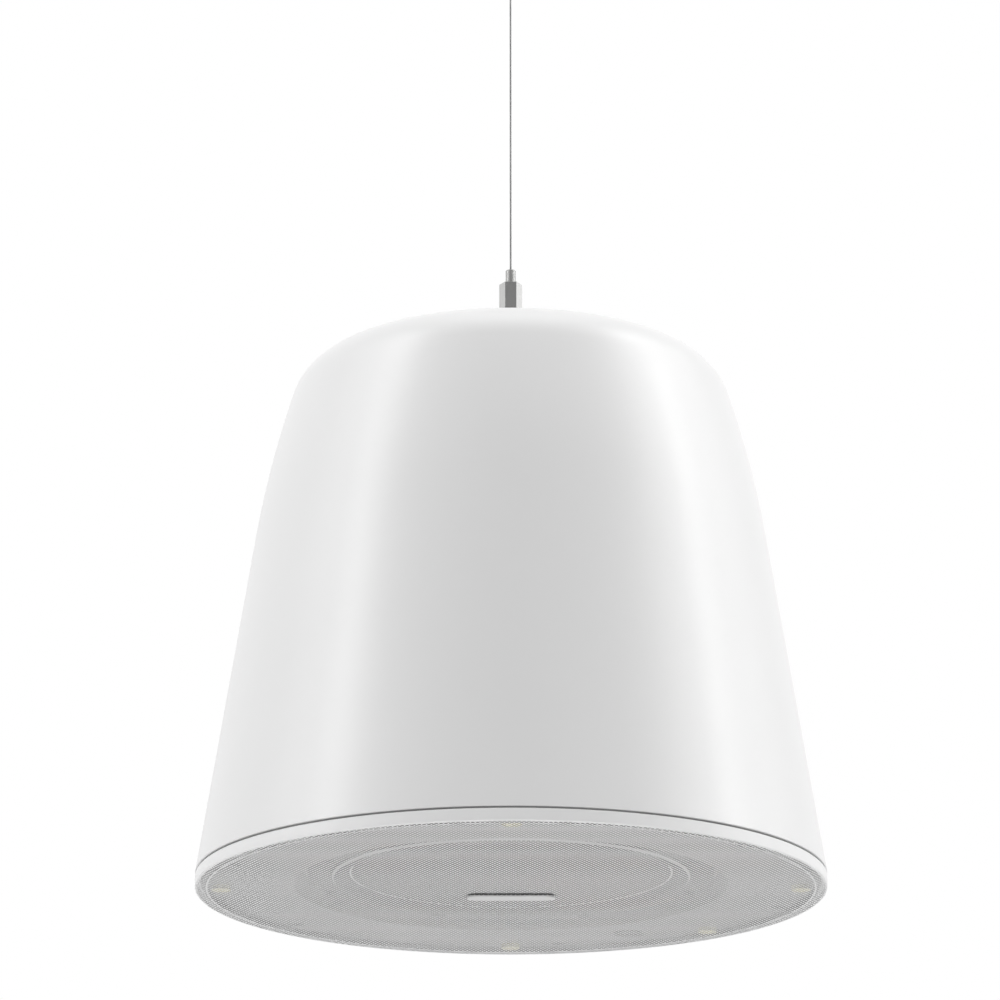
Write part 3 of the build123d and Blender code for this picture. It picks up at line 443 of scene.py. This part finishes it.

nodeFinish = {
    "housing_shell": "whiteShell", "rim_gasket": "greyFoam", "front_baffle": "baffle",
    "baffle_screws": "blackScrew", "edge_seal": "blackFoam", "grille": "powderCoat",
    "grille_magnets": "yellowZinc", "badge": "plate", "badge_clips": "zincScrew",
    "tap_dial": "dialGrey", "tap_switch": "blackPlastic", "woofer_frame": "castFrame",
    "woofer_gasket": "darkGasket", "woofer_screws": "blackScrew", "woofer_surround": "rollRubber",
    "woofer_cone": "conePaper", "dust_cap": "conePaper", "voice_coil": "coilCopper",
    "woofer_spider": "spiderCloth", "magnet_front_plate": "platedSteel",
    "ferrite_magnet": "ferrite", "pole_yoke": "platedSteel", "chassis_plate": "platedSteel",
    "chassis_screws": "zincScrew", "transformer_core": "coreSteel",
    "transformer_coil": "coilTape", "transformer_strap": "platedSteel",
    "terminal_block": "whiteNylon", "damping_lining": "felt", "load_plate": "platedSteel",
    "hanger_nut": "zincScrew", "hanger_stud": "zincScrew", "hanger_collar": "nickel",
    "gripper_body": "nickel", "gripper_plunger": "satinNickel", "gripper_balls": "nickel",
    "gripper_spring": "zincScrew", "wire_rope": "ropeSteel", "rope_stop": "nickel",
    "ceiling_cap": "nickel", "ceiling_base": "nickel", "gland_body": "whiteNylon",
    "gland_cap": "whiteNylon", "gland_seal": "blackFoam", "gland_locknut": "whiteNylon",
}


def paint(piece, name):
    piece.data.materials.clear()
    piece.data.materials.append(finish[name])


for nodeName, finishName in nodeFinish.items():
    paint(cadNodes[nodeName], finishName)
print("materials ready")


# Smooth shading for the CAD nodes that stay, as a modifier, so that their meshes are kept
cadShading = {"merge": 0.0005, "sharpest": 32.0}


def shadingTree():
    tree = bpy.data.node_groups.new("smoothFaces", "GeometryNodeTree")
    tree.interface.new_socket(name="Geometry", in_out="INPUT", socket_type="NodeSocketGeometry")
    tree.interface.new_socket(name="Geometry", in_out="OUTPUT", socket_type="NodeSocketGeometry")
    link = tree.links.new
    first = newNode(tree, "NodeGroupInput")
    last = newNode(tree, "NodeGroupOutput")
    merge = newNode(tree, "GeometryNodeMergeByDistance", {"Distance": cadShading["merge"] * mm})
    soft = newNode(tree, "GeometryNodeSetShadeSmooth", domain="FACE")
    sharp = newNode(tree, "GeometryNodeSetShadeSmooth", {"Shade Smooth": False}, domain="EDGE")
    angle = newNode(tree, "GeometryNodeInputMeshEdgeAngle")
    test = newNode(tree, "FunctionNodeCompare", {"B": math.radians(cadShading["sharpest"])},
                   data_type="FLOAT", operation="GREATER_THAN")
    link(first.outputs[0], merge.inputs["Geometry"])
    link(merge.outputs["Geometry"], soft.inputs["Geometry"])
    link(soft.outputs["Geometry"], sharp.inputs["Geometry"])
    link(angle.outputs["Unsigned Angle"], test.inputs["A"])
    link(test.outputs["Result"], sharp.inputs["Selection"])
    link(sharp.outputs["Geometry"], last.inputs[0])
    return tree


smoothFaces = shadingTree()
for cadNode in cadNodes.values():
    cadNode.modifiers.new("smoothFaces", "NODES").node_group = smoothFaces
print("CAD nodes shaded smooth")


# Wire rope: six strands laid round a core, held taut between the gripper and the ceiling

rope = {
    "bottom": 306.968, "top": 509.0, "radius": 0.5, "lay": 8.0, "strands": 6, "exit": 333.968,
    "runs": 5, "resolution": 48,
}


def ropeRoute():
    route = bpy.data.curves.new("ropeRoute", "CURVE")
    route.dimensions = "3D"
    route.resolution_u = rope["resolution"]
    line = route.splines.new("NURBS")
    runs = rope["runs"]
    line.points.add(runs)
    for k, point in enumerate(line.points):
        point.co = (*place(0, 0, rope["bottom"] + (rope["top"] - rope["bottom"]) * k / runs), 1)
    line.order_u = 3
    line.use_endpoint_u = True
    holder = bpy.data.objects.new("ropeRoute", route)
    bpy.context.scene.collection.objects.link(holder)
    bpy.context.view_layer.update()
    mesh = bpy.data.meshes.new_from_object(holder)
    points = [vertex.co.copy() for vertex in mesh.vertices]
    bpy.data.objects.remove(holder)
    return points


def ropeStrand(points, thickness, turn):
    # one strand, laid against the core and wound round it once in each lay
    wound = []
    for point in points:
        around = (point.z - points[0].z) / (rope["lay"] * mm) * 2 * math.pi + turn
        wound.append(point + Vector((math.cos(around), math.sin(around), 0)) * thickness)
    return drawnLine("ropeStrand", wound, thickness=thickness)


ropePoints = ropeRoute()
strandThickness = 2 * rope["radius"] / 3 * mm
ropeParts = [drawnLine("ropeCore", ropePoints, thickness=strandThickness)]
for k in range(rope["strands"]):
    ropeParts.append(ropeStrand(ropePoints, strandThickness, 2 * math.pi * k / rope["strands"]))
pick(*ropeParts)
bpy.ops.object.join()
strandedRope = bpy.context.object
strandedRope.name = "stranded_rope"
smooth(strandedRope, angle=60)
paint(strandedRope, "ropeSteel")
belongs(strandedRope, "root", "rope_steel", "wire_rope")
print("wire rope laid,", len(ropePoints), "points")


# Bell housing and the seat of its cable gland

bell = {
    "radius": 160.0, "height": 295.8, "wall": 3.6, "lean": 9.0, "mouth": 7.25,
    "wallTop": 184.0, "sweep": 530.0, "shoulder": 30.8, "crown": 295.5, "collarSeat": 14.3,
    "studHole": 3.1, "lip": 0.35, "lipSlope": 0.05, "wallSteps": 12, "sweepSteps": 14,
    "crownSteps": 16, "steps": 256,
}


def bellCentres():
    # the top of the straight wall, then the middles of the three arcs that follow it
    lean = math.radians(bell["lean"])
    narrowing = (bell["wallTop"] - bell["mouth"]) * math.tan(lean)
    wallTop = (bell["radius"] - narrowing, bell["wallTop"])
    sweep = (wallTop[0] - bell["sweep"] * math.cos(lean),
             wallTop[1] - bell["sweep"] * math.sin(lean))
    crown = (0.0, bell["height"] - bell["crown"])
    fromSweep = bell["sweep"] - bell["shoulder"]
    fromCrown = bell["crown"] - bell["shoulder"]
    apart = math.dist(sweep, crown)
    along = (fromSweep**2 - fromCrown**2 + apart**2) / (2 * apart)
    across = math.sqrt(fromSweep**2 - along**2)
    way = ((crown[0] - sweep[0]) / apart, (crown[1] - sweep[1]) / apart)
    foot = (sweep[0] + way[0] * along, sweep[1] + way[1] * along)
    shoulder = (foot[0] - way[1] * across, foot[1] + way[0] * across)
    return wallTop, sweep, shoulder, crown


def bellLine(inset):
    # from the mouth upwards: straight wall, long sweep, tight shoulder, then the crown to its seat
    wallTop, sweep, shoulder, crown = bellCentres()
    lean = math.radians(bell["lean"])
    sweepEnd = math.atan2(shoulder[1] - sweep[1], shoulder[0] - sweep[0])
    crownStart = math.atan2(shoulder[1] - crown[1], shoulder[0] - crown[0])
    crownEnd = math.acos(bell["collarSeat"] / (bell["crown"] - inset))
    line = []
    for k in range(bell["wallSteps"]):
        height = bell["mouth"] + (bell["wallTop"] - bell["mouth"]) * k / bell["wallSteps"]
        radius = wallTop[0] + (bell["wallTop"] - height) * math.tan(lean) - inset / math.cos(lean)
        line.append((radius, height))
    low = arcPoints(sweep, bell["sweep"] - inset, lean, sweepEnd, bell["sweepSteps"])
    turn = arcPoints(shoulder, bell["shoulder"] - inset, sweepEnd, crownStart, bell["crownSteps"])
    top = arcPoints(crown, bell["crown"] - inset, crownStart, crownEnd, bell["crownSteps"])
    return line + low + turn[1:] + top[1:]


def makeHousing():
    outer = bellLine(0.0)
    inner = bellLine(bell["wall"])
    # a small chamfer at the mouth's outer edge
    lip = bell["lip"]
    outer[0] = (outer[0][0] - lip, bell["mouth"])
    outer.insert(1, (outer[0][0] + lip - bell["lipSlope"], bell["mouth"] + lip))
    seat = outer[-1][1]
    closing = [(bell["studHole"], seat), (bell["studHole"], inner[-1][1])]
    piece = turnedPiece("bell_housing", outer + closing + inner[::-1], bell["steps"])
    smooth(piece, angle=25)
    return piece


housing = makeHousing()
paint(housing, "whiteShell")
belongs(housing, "root", "white_shell", "housing_shell")
print("housing turned,", len(housing.data.polygons), "faces")

glandSeat = {
    "radius": 11.5, "bore": 6.1, "offset": 52.0, "low": 288.0, "high": 294.188, "round": 0.8,
    "roundSteps": 5, "steps": 64,
}


def makeGlandSeat():
    radius, high, edge = glandSeat["radius"], glandSeat["high"], glandSeat["round"]
    profile = [(glandSeat["bore"], glandSeat["low"]), (radius, glandSeat["low"])]
    profile += arcPoints(
        (radius - edge, high - edge), edge, 0.0, math.pi / 2, glandSeat["roundSteps"]
    )
    profile += [(glandSeat["bore"], high)]
    piece = turnedPiece("gland_seat", profile, glandSeat["steps"])
    piece.location = (0, glandSeat["offset"] * mm, 0)
    applyPlace(piece)
    smooth(piece)
    return piece


glandPad = makeGlandSeat()
paint(glandPad, "whiteShell")
belongs(glandPad, "root", "white_shell", "housing_shell")


# Perforated grille: one cell of the sheet, repeated in staggered rows and cut round

grille = {
    "radius": 159.2, "hemWidth": 0.5, "hemRound": 0.45, "hemSteps": 6, "thickness": 0.8,
    "sheet": 0.08, "pitch": 2.32, "rowPitch": 2.36, "hole": 1.06, "nearAxis": 0.1,
    "spareCells": 4, "spareRows": 3, "merge": 0.02, "sliver": 0.01, "steps": 256,
}


def makeCell():
    # a six-sided hole whose rim is drawn out to the cell's edge, which meets its neighbours'
    deselectAll()
    bpy.ops.mesh.primitive_circle_add(
        vertices=6, radius=grille["hole"] * mm, location=place(0, 0, 0)
    )
    cell = bpy.context.object
    cell.name = "grille_cell"
    applyPlace(cell)
    editAll(cell)
    bpy.ops.mesh.extrude_edges_move()
    leaveEdit()
    halfPitch, halfRow = grille["pitch"] / 2 * mm, grille["rowPitch"] / 2 * mm
    for vertex in [vertex for vertex in cell.data.vertices if vertex.select]:
        x, y = vertex.co.x, vertex.co.y
        onAxis = abs(x) < grille["nearAxis"] * mm
        vertex.co.x = 0.0 if onAxis else math.copysign(halfPitch, x)
        vertex.co.y = math.copysign(halfRow, y)
    editAll(cell)
    bpy.ops.mesh.duplicate_move(
        TRANSFORM_OT_translate={"value": (halfPitch, grille["rowPitch"] * mm, 0)}
    )
    leaveEdit()
    return cell


def makeSheet():
    sheet = makeCell()
    pitch, rowPair = grille["pitch"] * mm, 2 * grille["rowPitch"] * mm
    reach = grille["radius"] * mm
    across = int(2 * reach / pitch) + grille["spareCells"]
    rows = int(2 * reach / rowPair) + grille["spareRows"]
    for offset, count in (((pitch, 0, 0), across), ((0, rowPair, 0), rows)):
        useModifier(
            sheet, "ARRAY", use_relative_offset=False, use_constant_offset=True,
            constant_offset_displace=offset, count=count, use_merge_vertices=False,
        )
    sheet.location = (-pitch * (across // 2), -rowPair * (rows // 2), 0)
    applyPlace(sheet)
    limit = (grille["radius"] - grille["hemWidth"] / 2) * mm
    places = vertexPlaces(sheet)
    outside = np.hypot(places[:, 0], places[:, 1]) > limit
    faces = np.empty(len(sheet.data.polygons) * 4, int)
    sheet.data.polygons.foreach_get("vertices", faces)
    selectFaces(sheet, outside[faces.reshape(-1, 4)].all(axis=1))
    bpy.ops.mesh.delete(type="FACE")
    leaveEdit()
    places = vertexPlaces(sheet)
    distance = np.hypot(places[:, 0], places[:, 1])
    places[:, :2] *= np.where(distance > limit, limit / np.maximum(distance, mm), 1.0)[:, None]
    setPlaces(sheet, places)  # what still stands past the edge is drawn in to it
    editAll(sheet)
    bpy.ops.mesh.select_mode(type="VERT")
    bpy.ops.mesh.select_all(action="SELECT")
    bpy.ops.mesh.remove_doubles(threshold=grille["merge"] * mm)
    bpy.ops.mesh.dissolve_degenerate(threshold=grille["sliver"] * mm)
    leaveEdit()
    facing = np.empty(len(sheet.data.polygons) * 3)
    sheet.data.polygons.foreach_get("normal", facing)
    selectFaces(sheet, facing.reshape(-1, 3)[:, 2] > 0)
    bpy.ops.mesh.flip_normals()  # so that the sheet faces down and gets its thickness above
    leaveEdit()
    return sheet


def splitSheet(sheet):
    # four quarters, so that none is too heavy, each closed by its own thickness
    quarters = []
    for side, end in ((1, 1), (1, -1), (-1, 1)):
        centres = np.empty(len(sheet.data.polygons) * 3)
        sheet.data.polygons.foreach_get("center", centres)
        centres = centres.reshape(-1, 3)
        selectFaces(sheet, (centres[:, 0] * side > 0) & (centres[:, 1] * end > 0))
        bpy.ops.mesh.separate(type="SELECTED")
        leaveEdit()
        quarters += [piece for piece in bpy.context.selected_objects if piece != sheet]
    quarters.append(sheet)  # what is left of it is the fourth
    for k, quarter in enumerate(quarters):
        quarter.name = "grille_quarter_" + str(k + 1)
        useModifier(quarter, "SOLIDIFY", thickness=grille["sheet"] * mm, offset=-1.0)
    return quarters


def hemProfile():
    outer, width = grille["radius"], grille["hemWidth"]
    high, edge = grille["thickness"], grille["hemRound"]
    profile = [(outer - width, 0.0)]
    profile += arcPoints((outer - edge, edge), edge, -math.pi / 2, 0.0, grille["hemSteps"])
    return profile + [(outer, high), (outer - width, high)]


def makeRing(name, profile):
    piece = turnedPiece(name, profile, grille["steps"])
    smooth(piece, angle=50)
    return piece


sheet = makeSheet()
print("grille sheet,", len(sheet.data.polygons), "faces")
grillePieces = splitSheet(sheet) + [makeRing("grille_hem", hemProfile())]
for piece in grillePieces:
    paint(piece, "powderCoat")
    belongs(piece, "root", "white_grille", "grille")
paint(grillePieces[-1], "whiteRim")

# A thin pale ledge right behind the sheet's edge, with the dark seal standing on it
ledge = {"inner": 153.6, "outer": 154.5, "low": 0.1, "high": 0.25, "sealTop": 2.9}
grilleLedge = makeRing("grille_ledge", [
    (ledge["inner"], ledge["low"]), (ledge["outer"], ledge["low"]),
    (ledge["outer"], ledge["high"]), (ledge["inner"], ledge["high"]),
])
paint(grilleLedge, "plate")
belongs(grilleLedge, "root", "white_baffle")
sealStrip = makeRing("seal_strip", [
    (ledge["inner"], ledge["high"]), (ledge["outer"], ledge["high"]),
    (ledge["outer"], ledge["sealTop"]), (ledge["inner"], ledge["sealTop"]),
])
paint(sealStrip, "blackFoam")
belongs(sealStrip, "root", "black_foam", "edge_seal")
print("grille made in", len(grillePieces), "pieces")


# Wire gripper's hexagonal body, with chamfered edges and its bore

gripper = {
    "low": 302.968, "high": 326.168, "across": 10.5, "edge": 0.07, "studRadius": 3.05,
    "studTop": 308.968, "coneRadius": 3.3, "coneLow": 310.668, "coneHigh": 319.168,
    "mouthRadius": 2.45, "boreRadius": 2.72, "past": 1.0, "steps": 64,
}


def makeGripper():
    low, high, past = gripper["low"], gripper["high"], gripper["past"]
    deselectAll()
    bpy.ops.mesh.primitive_cylinder_add(
        vertices=6, radius=gripper["across"] / math.sqrt(3) * mm, depth=(high - low) * mm,
        location=place(0, 0, (low + high) / 2), rotation=(0, 0, math.radians(30)),
    )
    body = bpy.context.object
    body.name = "gripper_hexagon"
    applyPlace(body)
    useModifier(body, "BEVEL", width=gripper["edge"] * mm, segments=1, limit_method="ANGLE")
    # from the stud's hole up through the balls' cone to the plunger's bore, cut past both ends
    profile = [
        (0, low - past), (gripper["studRadius"], low - past),
        (gripper["studRadius"], gripper["studTop"]), (gripper["coneRadius"], gripper["studTop"]),
        (gripper["coneRadius"], gripper["coneLow"]), (gripper["mouthRadius"], gripper["coneHigh"]),
        (gripper["boreRadius"], gripper["coneHigh"]), (gripper["boreRadius"], high + past),
        (0, high + past),
    ]
    bore = turnedPiece("gripper_bore", profile, gripper["steps"])
    useModifier(body, "BOOLEAN", object=bore, operation="DIFFERENCE", solver="EXACT")
    bpy.data.objects.remove(bore)
    smooth(body, angle=12)  # the flats and their chamfers stay flat, the bore is round
    return body


gripperBody = makeGripper()
paint(gripperBody, "nickel")
belongs(gripperBody, "root", "nickel", "gripper_body")
print("gripper made,", len(gripperBody.data.polygons), "faces")


# Return spring under the plunger

spring = {
    "radius": 1.7, "wire": 0.2, "turns": 3.5, "bottom": 308.968, "top": 313.158, "sides": 6,
    "steps": 84,
}


def makeSpring():
    # the wire's section carried up round the axis, closed at both ends
    wire = spring["wire"]
    rise = spring["top"] - spring["bottom"] - 2 * wire
    deselectAll()
    bpy.ops.mesh.primitive_circle_add(
        vertices=spring["sides"], radius=wire * mm, rotation=(math.pi / 2, 0, 0),
        location=place(spring["radius"], 0, spring["bottom"] + wire),
    )
    coil = bpy.context.object
    coil.name = "gripper_coil"
    applyPlace(coil)
    useModifier(
        coil, "SCREW", angle=spring["turns"] * 2 * math.pi, screw_offset=rise * mm,
        steps=spring["steps"], render_steps=spring["steps"],
    )
    editAll(coil)
    bpy.ops.mesh.fill_holes(sides=0)
    leaveEdit()
    cleanUp(coil)
    smooth(coil, angle=65)
    return coil


springCoil = makeSpring()
paint(springCoil, "zincScrew")
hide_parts("gripper_spring")
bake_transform(springCoil)
print("spring wound,", len(springCoil.data.polygons), "faces")


# Driver's rubber roll and cloth suspension, made as closed sectors

roll = {
    "lip": 95.2, "outer": 91.5, "inner": 83.5, "edge": 80.4, "back": 10.0, "thickness": 0.6,
    "arcSteps": 16, "sectors": 16, "steps": 10,
}
suspension = {
    "inner": 19.85, "foldInner": 23.8, "foldOuter": 45.8, "outer": 53.5, "back": 62.0,
    "thickness": 0.6, "fold": 1.6, "folds": 5, "foldSteps": 8, "sectors": 8, "steps": 12,
}


def rollProfile():
    # a half round between the frame's lip and the cone's edge, of one thickness
    back, thick, count = roll["back"], roll["thickness"], roll["arcSteps"]
    middle = (roll["outer"] + roll["inner"]) / 2
    front = back - thick
    outside = (roll["outer"] - roll["inner"]) / 2
    inside = outside - thick
    profile = [(roll["edge"], back), (roll["edge"], front)]
    profile += arcPoints((middle, front), outside, math.pi, 2 * math.pi, count)
    profile += [(roll["lip"], front), (roll["lip"], back), (middle + inside, back)]
    profile += arcPoints((middle, front), inside, 2 * math.pi, math.pi, count)
    profile += [(middle - inside, back)]
    return profile


def suspensionProfile():
    # flat where it is glued, at the coil and at the frame, and wavy between
    thick, level = suspension["thickness"], suspension["back"] - suspension["thickness"]
    count = suspension["foldSteps"] * suspension["folds"]
    span = suspension["foldOuter"] - suspension["foldInner"]
    front = [(suspension["inner"], level)]
    for k in range(count + 1):
        wave = math.cos(2 * math.pi * k / suspension["foldSteps"])
        radius = suspension["foldInner"] + span * k / count
        front.append((radius, level - suspension["fold"] * (1 - wave) / 2))
    front.append((suspension["outer"], level))
    return front + [(radius, height + thick) for radius, height in reversed(front)]


def ringSector(name, profile, start, turn, steps):
    # the section is filled and copied, so that the spun one leaves a closed end behind
    piece = drawnSection(name, profile, start)
    editAll(piece)
    bpy.ops.mesh.edge_face_add()
    bpy.ops.mesh.duplicate()
    bpy.ops.mesh.spin(steps=steps, angle=turn, center=(0, 0, 0), axis=(0, 0, 1))
    leaveEdit()
    cleanUp(piece)
    smooth(piece, angle=35)
    return piece


def makeSectors(name, profile, shape, look, node):
    # closed sectors of a ring
    count = shape["sectors"]
    turn = 2 * math.pi / count
    for k in range(count):
        piece = ringSector(name + "_" + str(k + 1), profile, k * turn, turn, shape["steps"])
        paint(piece, look)
        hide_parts(node)
        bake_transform(piece)


makeSectors("surround", rollProfile(), roll, "rollRubber", "woofer_surround")
makeSectors("spider", suspensionProfile(), suspension, "spiderCloth",
            "woofer_spider")
print("roll and suspension made")


# Studio: pale floor far below, soft light all round, five tall soft boxes, two weak square lamps

# aim, floorHeight and the square lamps' heights are in millimetres, its other lengths in metres
studio = {
    "floorHeight": -3700.0, "floorSize": 400.0, "floorTone": 0.86, "floorRough": 0.9,
    "floorFade": (2.0, 11.0), "floorPale": 0.6, "ambient": 0.64,
    "mirrored": ((0.0, 0.35), (0.035, 1.0), (0.5, 1.0), (0.75, 0.78), (0.91, 0.48), (1.0, 0.27)),
    "aim": 150.0, "away": 2.6, "elevation": 32.0, "width": 0.5, "height": 2.9,
    "boxes": {"leftKey": (-70.0, 22.0), "leftFill": (-90.0, 5.7), "rightKey": (90.0, 22.0),
              "rightFront": (70.0, 9.4), "rightBack": (112.0, 6.3)},
    "bounce": {"size": 1.5, "power": 21.0, "height": -2450.0},
    "overhead": {"size": 1.5, "power": 5.0, "height": 2900.0},
}


def makeFloor():
    deselectAll()
    bpy.ops.mesh.primitive_plane_add(
        size=studio["floorSize"], location=(0, 0, studio["floorHeight"] * mm)
    )
    floor = bpy.context.object
    floor.name = "studio_floor"
    applyPlace(floor)
    material = bpy.data.materials.new("paleFloor")
    material.use_nodes = True
    tree = material.node_tree
    link = tree.links.new
    tone = studio["floorTone"]
    shader = tree.nodes["Principled BSDF"]
    shader.inputs["Base Color"].default_value = (tone, tone, tone, 1)
    shader.inputs["Roughness"].default_value = studio["floorRough"]
    # seen by the camera it is paler still, and fades into the white background far out
    near, far = studio["floorFade"]
    where = newNode(tree, "ShaderNodeTexCoord")
    reach = newNode(tree, "ShaderNodeVectorMath", {1: (0, 0, studio["floorHeight"] * mm)},
                    operation="DISTANCE")
    fade = newNode(
        tree, "ShaderNodeMapRange",
        {"From Min": near, "From Max": far, "To Min": studio["floorPale"]},
        interpolation_type="SMOOTHSTEP",
    )
    rays = newNode(tree, "ShaderNodeLightPath")
    share = newNode(tree, "ShaderNodeMath", operation="MULTIPLY")
    white = newNode(tree, "ShaderNodeEmission", {"Strength": 1.0})
    both = newNode(tree, "ShaderNodeMixShader")
    link(where.outputs["Object"], reach.inputs[0])
    link(reach.outputs["Value"], fade.inputs["Value"])
    link(fade.outputs["Result"], share.inputs[0])
    link(rays.outputs["Is Camera Ray"], share.inputs[1])
    link(share.outputs["Value"], both.inputs["Fac"])
    link(shader.outputs["BSDF"], both.inputs[1])
    link(white.outputs["Emission"], both.inputs[2])
    link(both.outputs["Shader"], tree.nodes["Material Output"].inputs["Surface"])
    floor.data.materials.append(material)


def makeWorld():
    world = bpy.data.worlds.new("whiteStudio")
    bpy.context.scene.world = world
    world.use_nodes = True
    tree = world.node_tree
    tree.nodes.clear()
    link = tree.links.new
    output = newNode(tree, "ShaderNodeOutputWorld")
    around = newNode(tree, "ShaderNodeBackground",
                     {"Color": (1, 1, 1, 1), "Strength": studio["ambient"]})
    white = newNode(tree, "ShaderNodeBackground", {"Color": (1, 1, 1, 1), "Strength": 1.0})
    # reflections show the same white studio, darker right behind the speaker and by the camera
    mirrored = newNode(tree, "ShaderNodeBackground", {"Strength": 1.0})
    direction = newNode(tree, "ShaderNodeTexCoord")
    apart = newNode(tree, "ShaderNodeSeparateXYZ")
    towards = newNode(tree, "ShaderNodeMapRange", {"From Min": 1.0, "From Max": -1.0})
    fade = newNode(tree, "ShaderNodeValToRGB")
    while len(fade.color_ramp.elements) < len(studio["mirrored"]):
        fade.color_ramp.elements.new(0.5)
    for element, (position, tone) in zip(fade.color_ramp.elements, studio["mirrored"]):
        element.position = position
        element.color = (tone, tone, tone, 1)
    link(direction.outputs["Generated"], apart.inputs["Vector"])
    link(apart.outputs["Y"], towards.inputs["Value"])
    link(towards.outputs["Result"], fade.inputs["Fac"])
    link(fade.outputs["Color"], mirrored.inputs["Color"])
    rays = newNode(tree, "ShaderNodeLightPath")
    seen = newNode(tree, "ShaderNodeMath", operation="MAXIMUM")
    reflected = newNode(tree, "ShaderNodeMixShader")
    choose = newNode(tree, "ShaderNodeMixShader")
    link(rays.outputs["Is Glossy Ray"], reflected.inputs["Fac"])
    link(around.outputs["Background"], reflected.inputs[1])
    link(mirrored.outputs["Background"], reflected.inputs[2])
    link(rays.outputs["Is Camera Ray"], seen.inputs[0])
    link(rays.outputs["Is Transmission Ray"], seen.inputs[1])
    link(seen.outputs["Value"], choose.inputs["Fac"])
    link(reflected.outputs["Shader"], choose.inputs[1])
    link(white.outputs["Background"], choose.inputs[2])
    link(choose.outputs["Shader"], output.inputs["Surface"])


def addLamp(name, width, height, power, location, rotation):
    data = bpy.data.lights.new(name, "AREA")
    data.shape = "RECTANGLE"
    data.size = width
    data.size_y = height
    data.energy = power
    lamp = bpy.data.objects.new(name, data)
    bpy.context.scene.collection.objects.link(lamp)
    lamp.location = location
    lamp.rotation_euler = rotation


def makeBox(name, azimuth, power):
    around, up = math.radians(azimuth), math.radians(studio["elevation"])
    way = Vector((math.sin(around) * math.cos(up), -math.cos(around) * math.cos(up), math.sin(up)))
    addLamp(
        name, studio["width"], studio["height"], power,
        place(0, 0, studio["aim"]) + way * studio["away"],
        (-way).to_track_quat("-Z", "Y").to_euler(),
    )


def makeSquare(name, facing):
    # a wide weak lamp on the axis: what comes up off the pale floor, or down from the ceiling
    lamp = studio[name]
    addLamp(name, lamp["size"], lamp["size"], lamp["power"], place(0, 0, lamp["height"]),
            (facing, 0, 0))


makeFloor()
makeWorld()
makeSquare("bounce", math.pi)
makeSquare("overhead", 0.0)
for boxName, (azimuth, power) in studio["boxes"].items():
    makeBox(boxName, azimuth, power)
bpy.context.scene.view_settings.view_transform = "Standard"
print("studio lit")
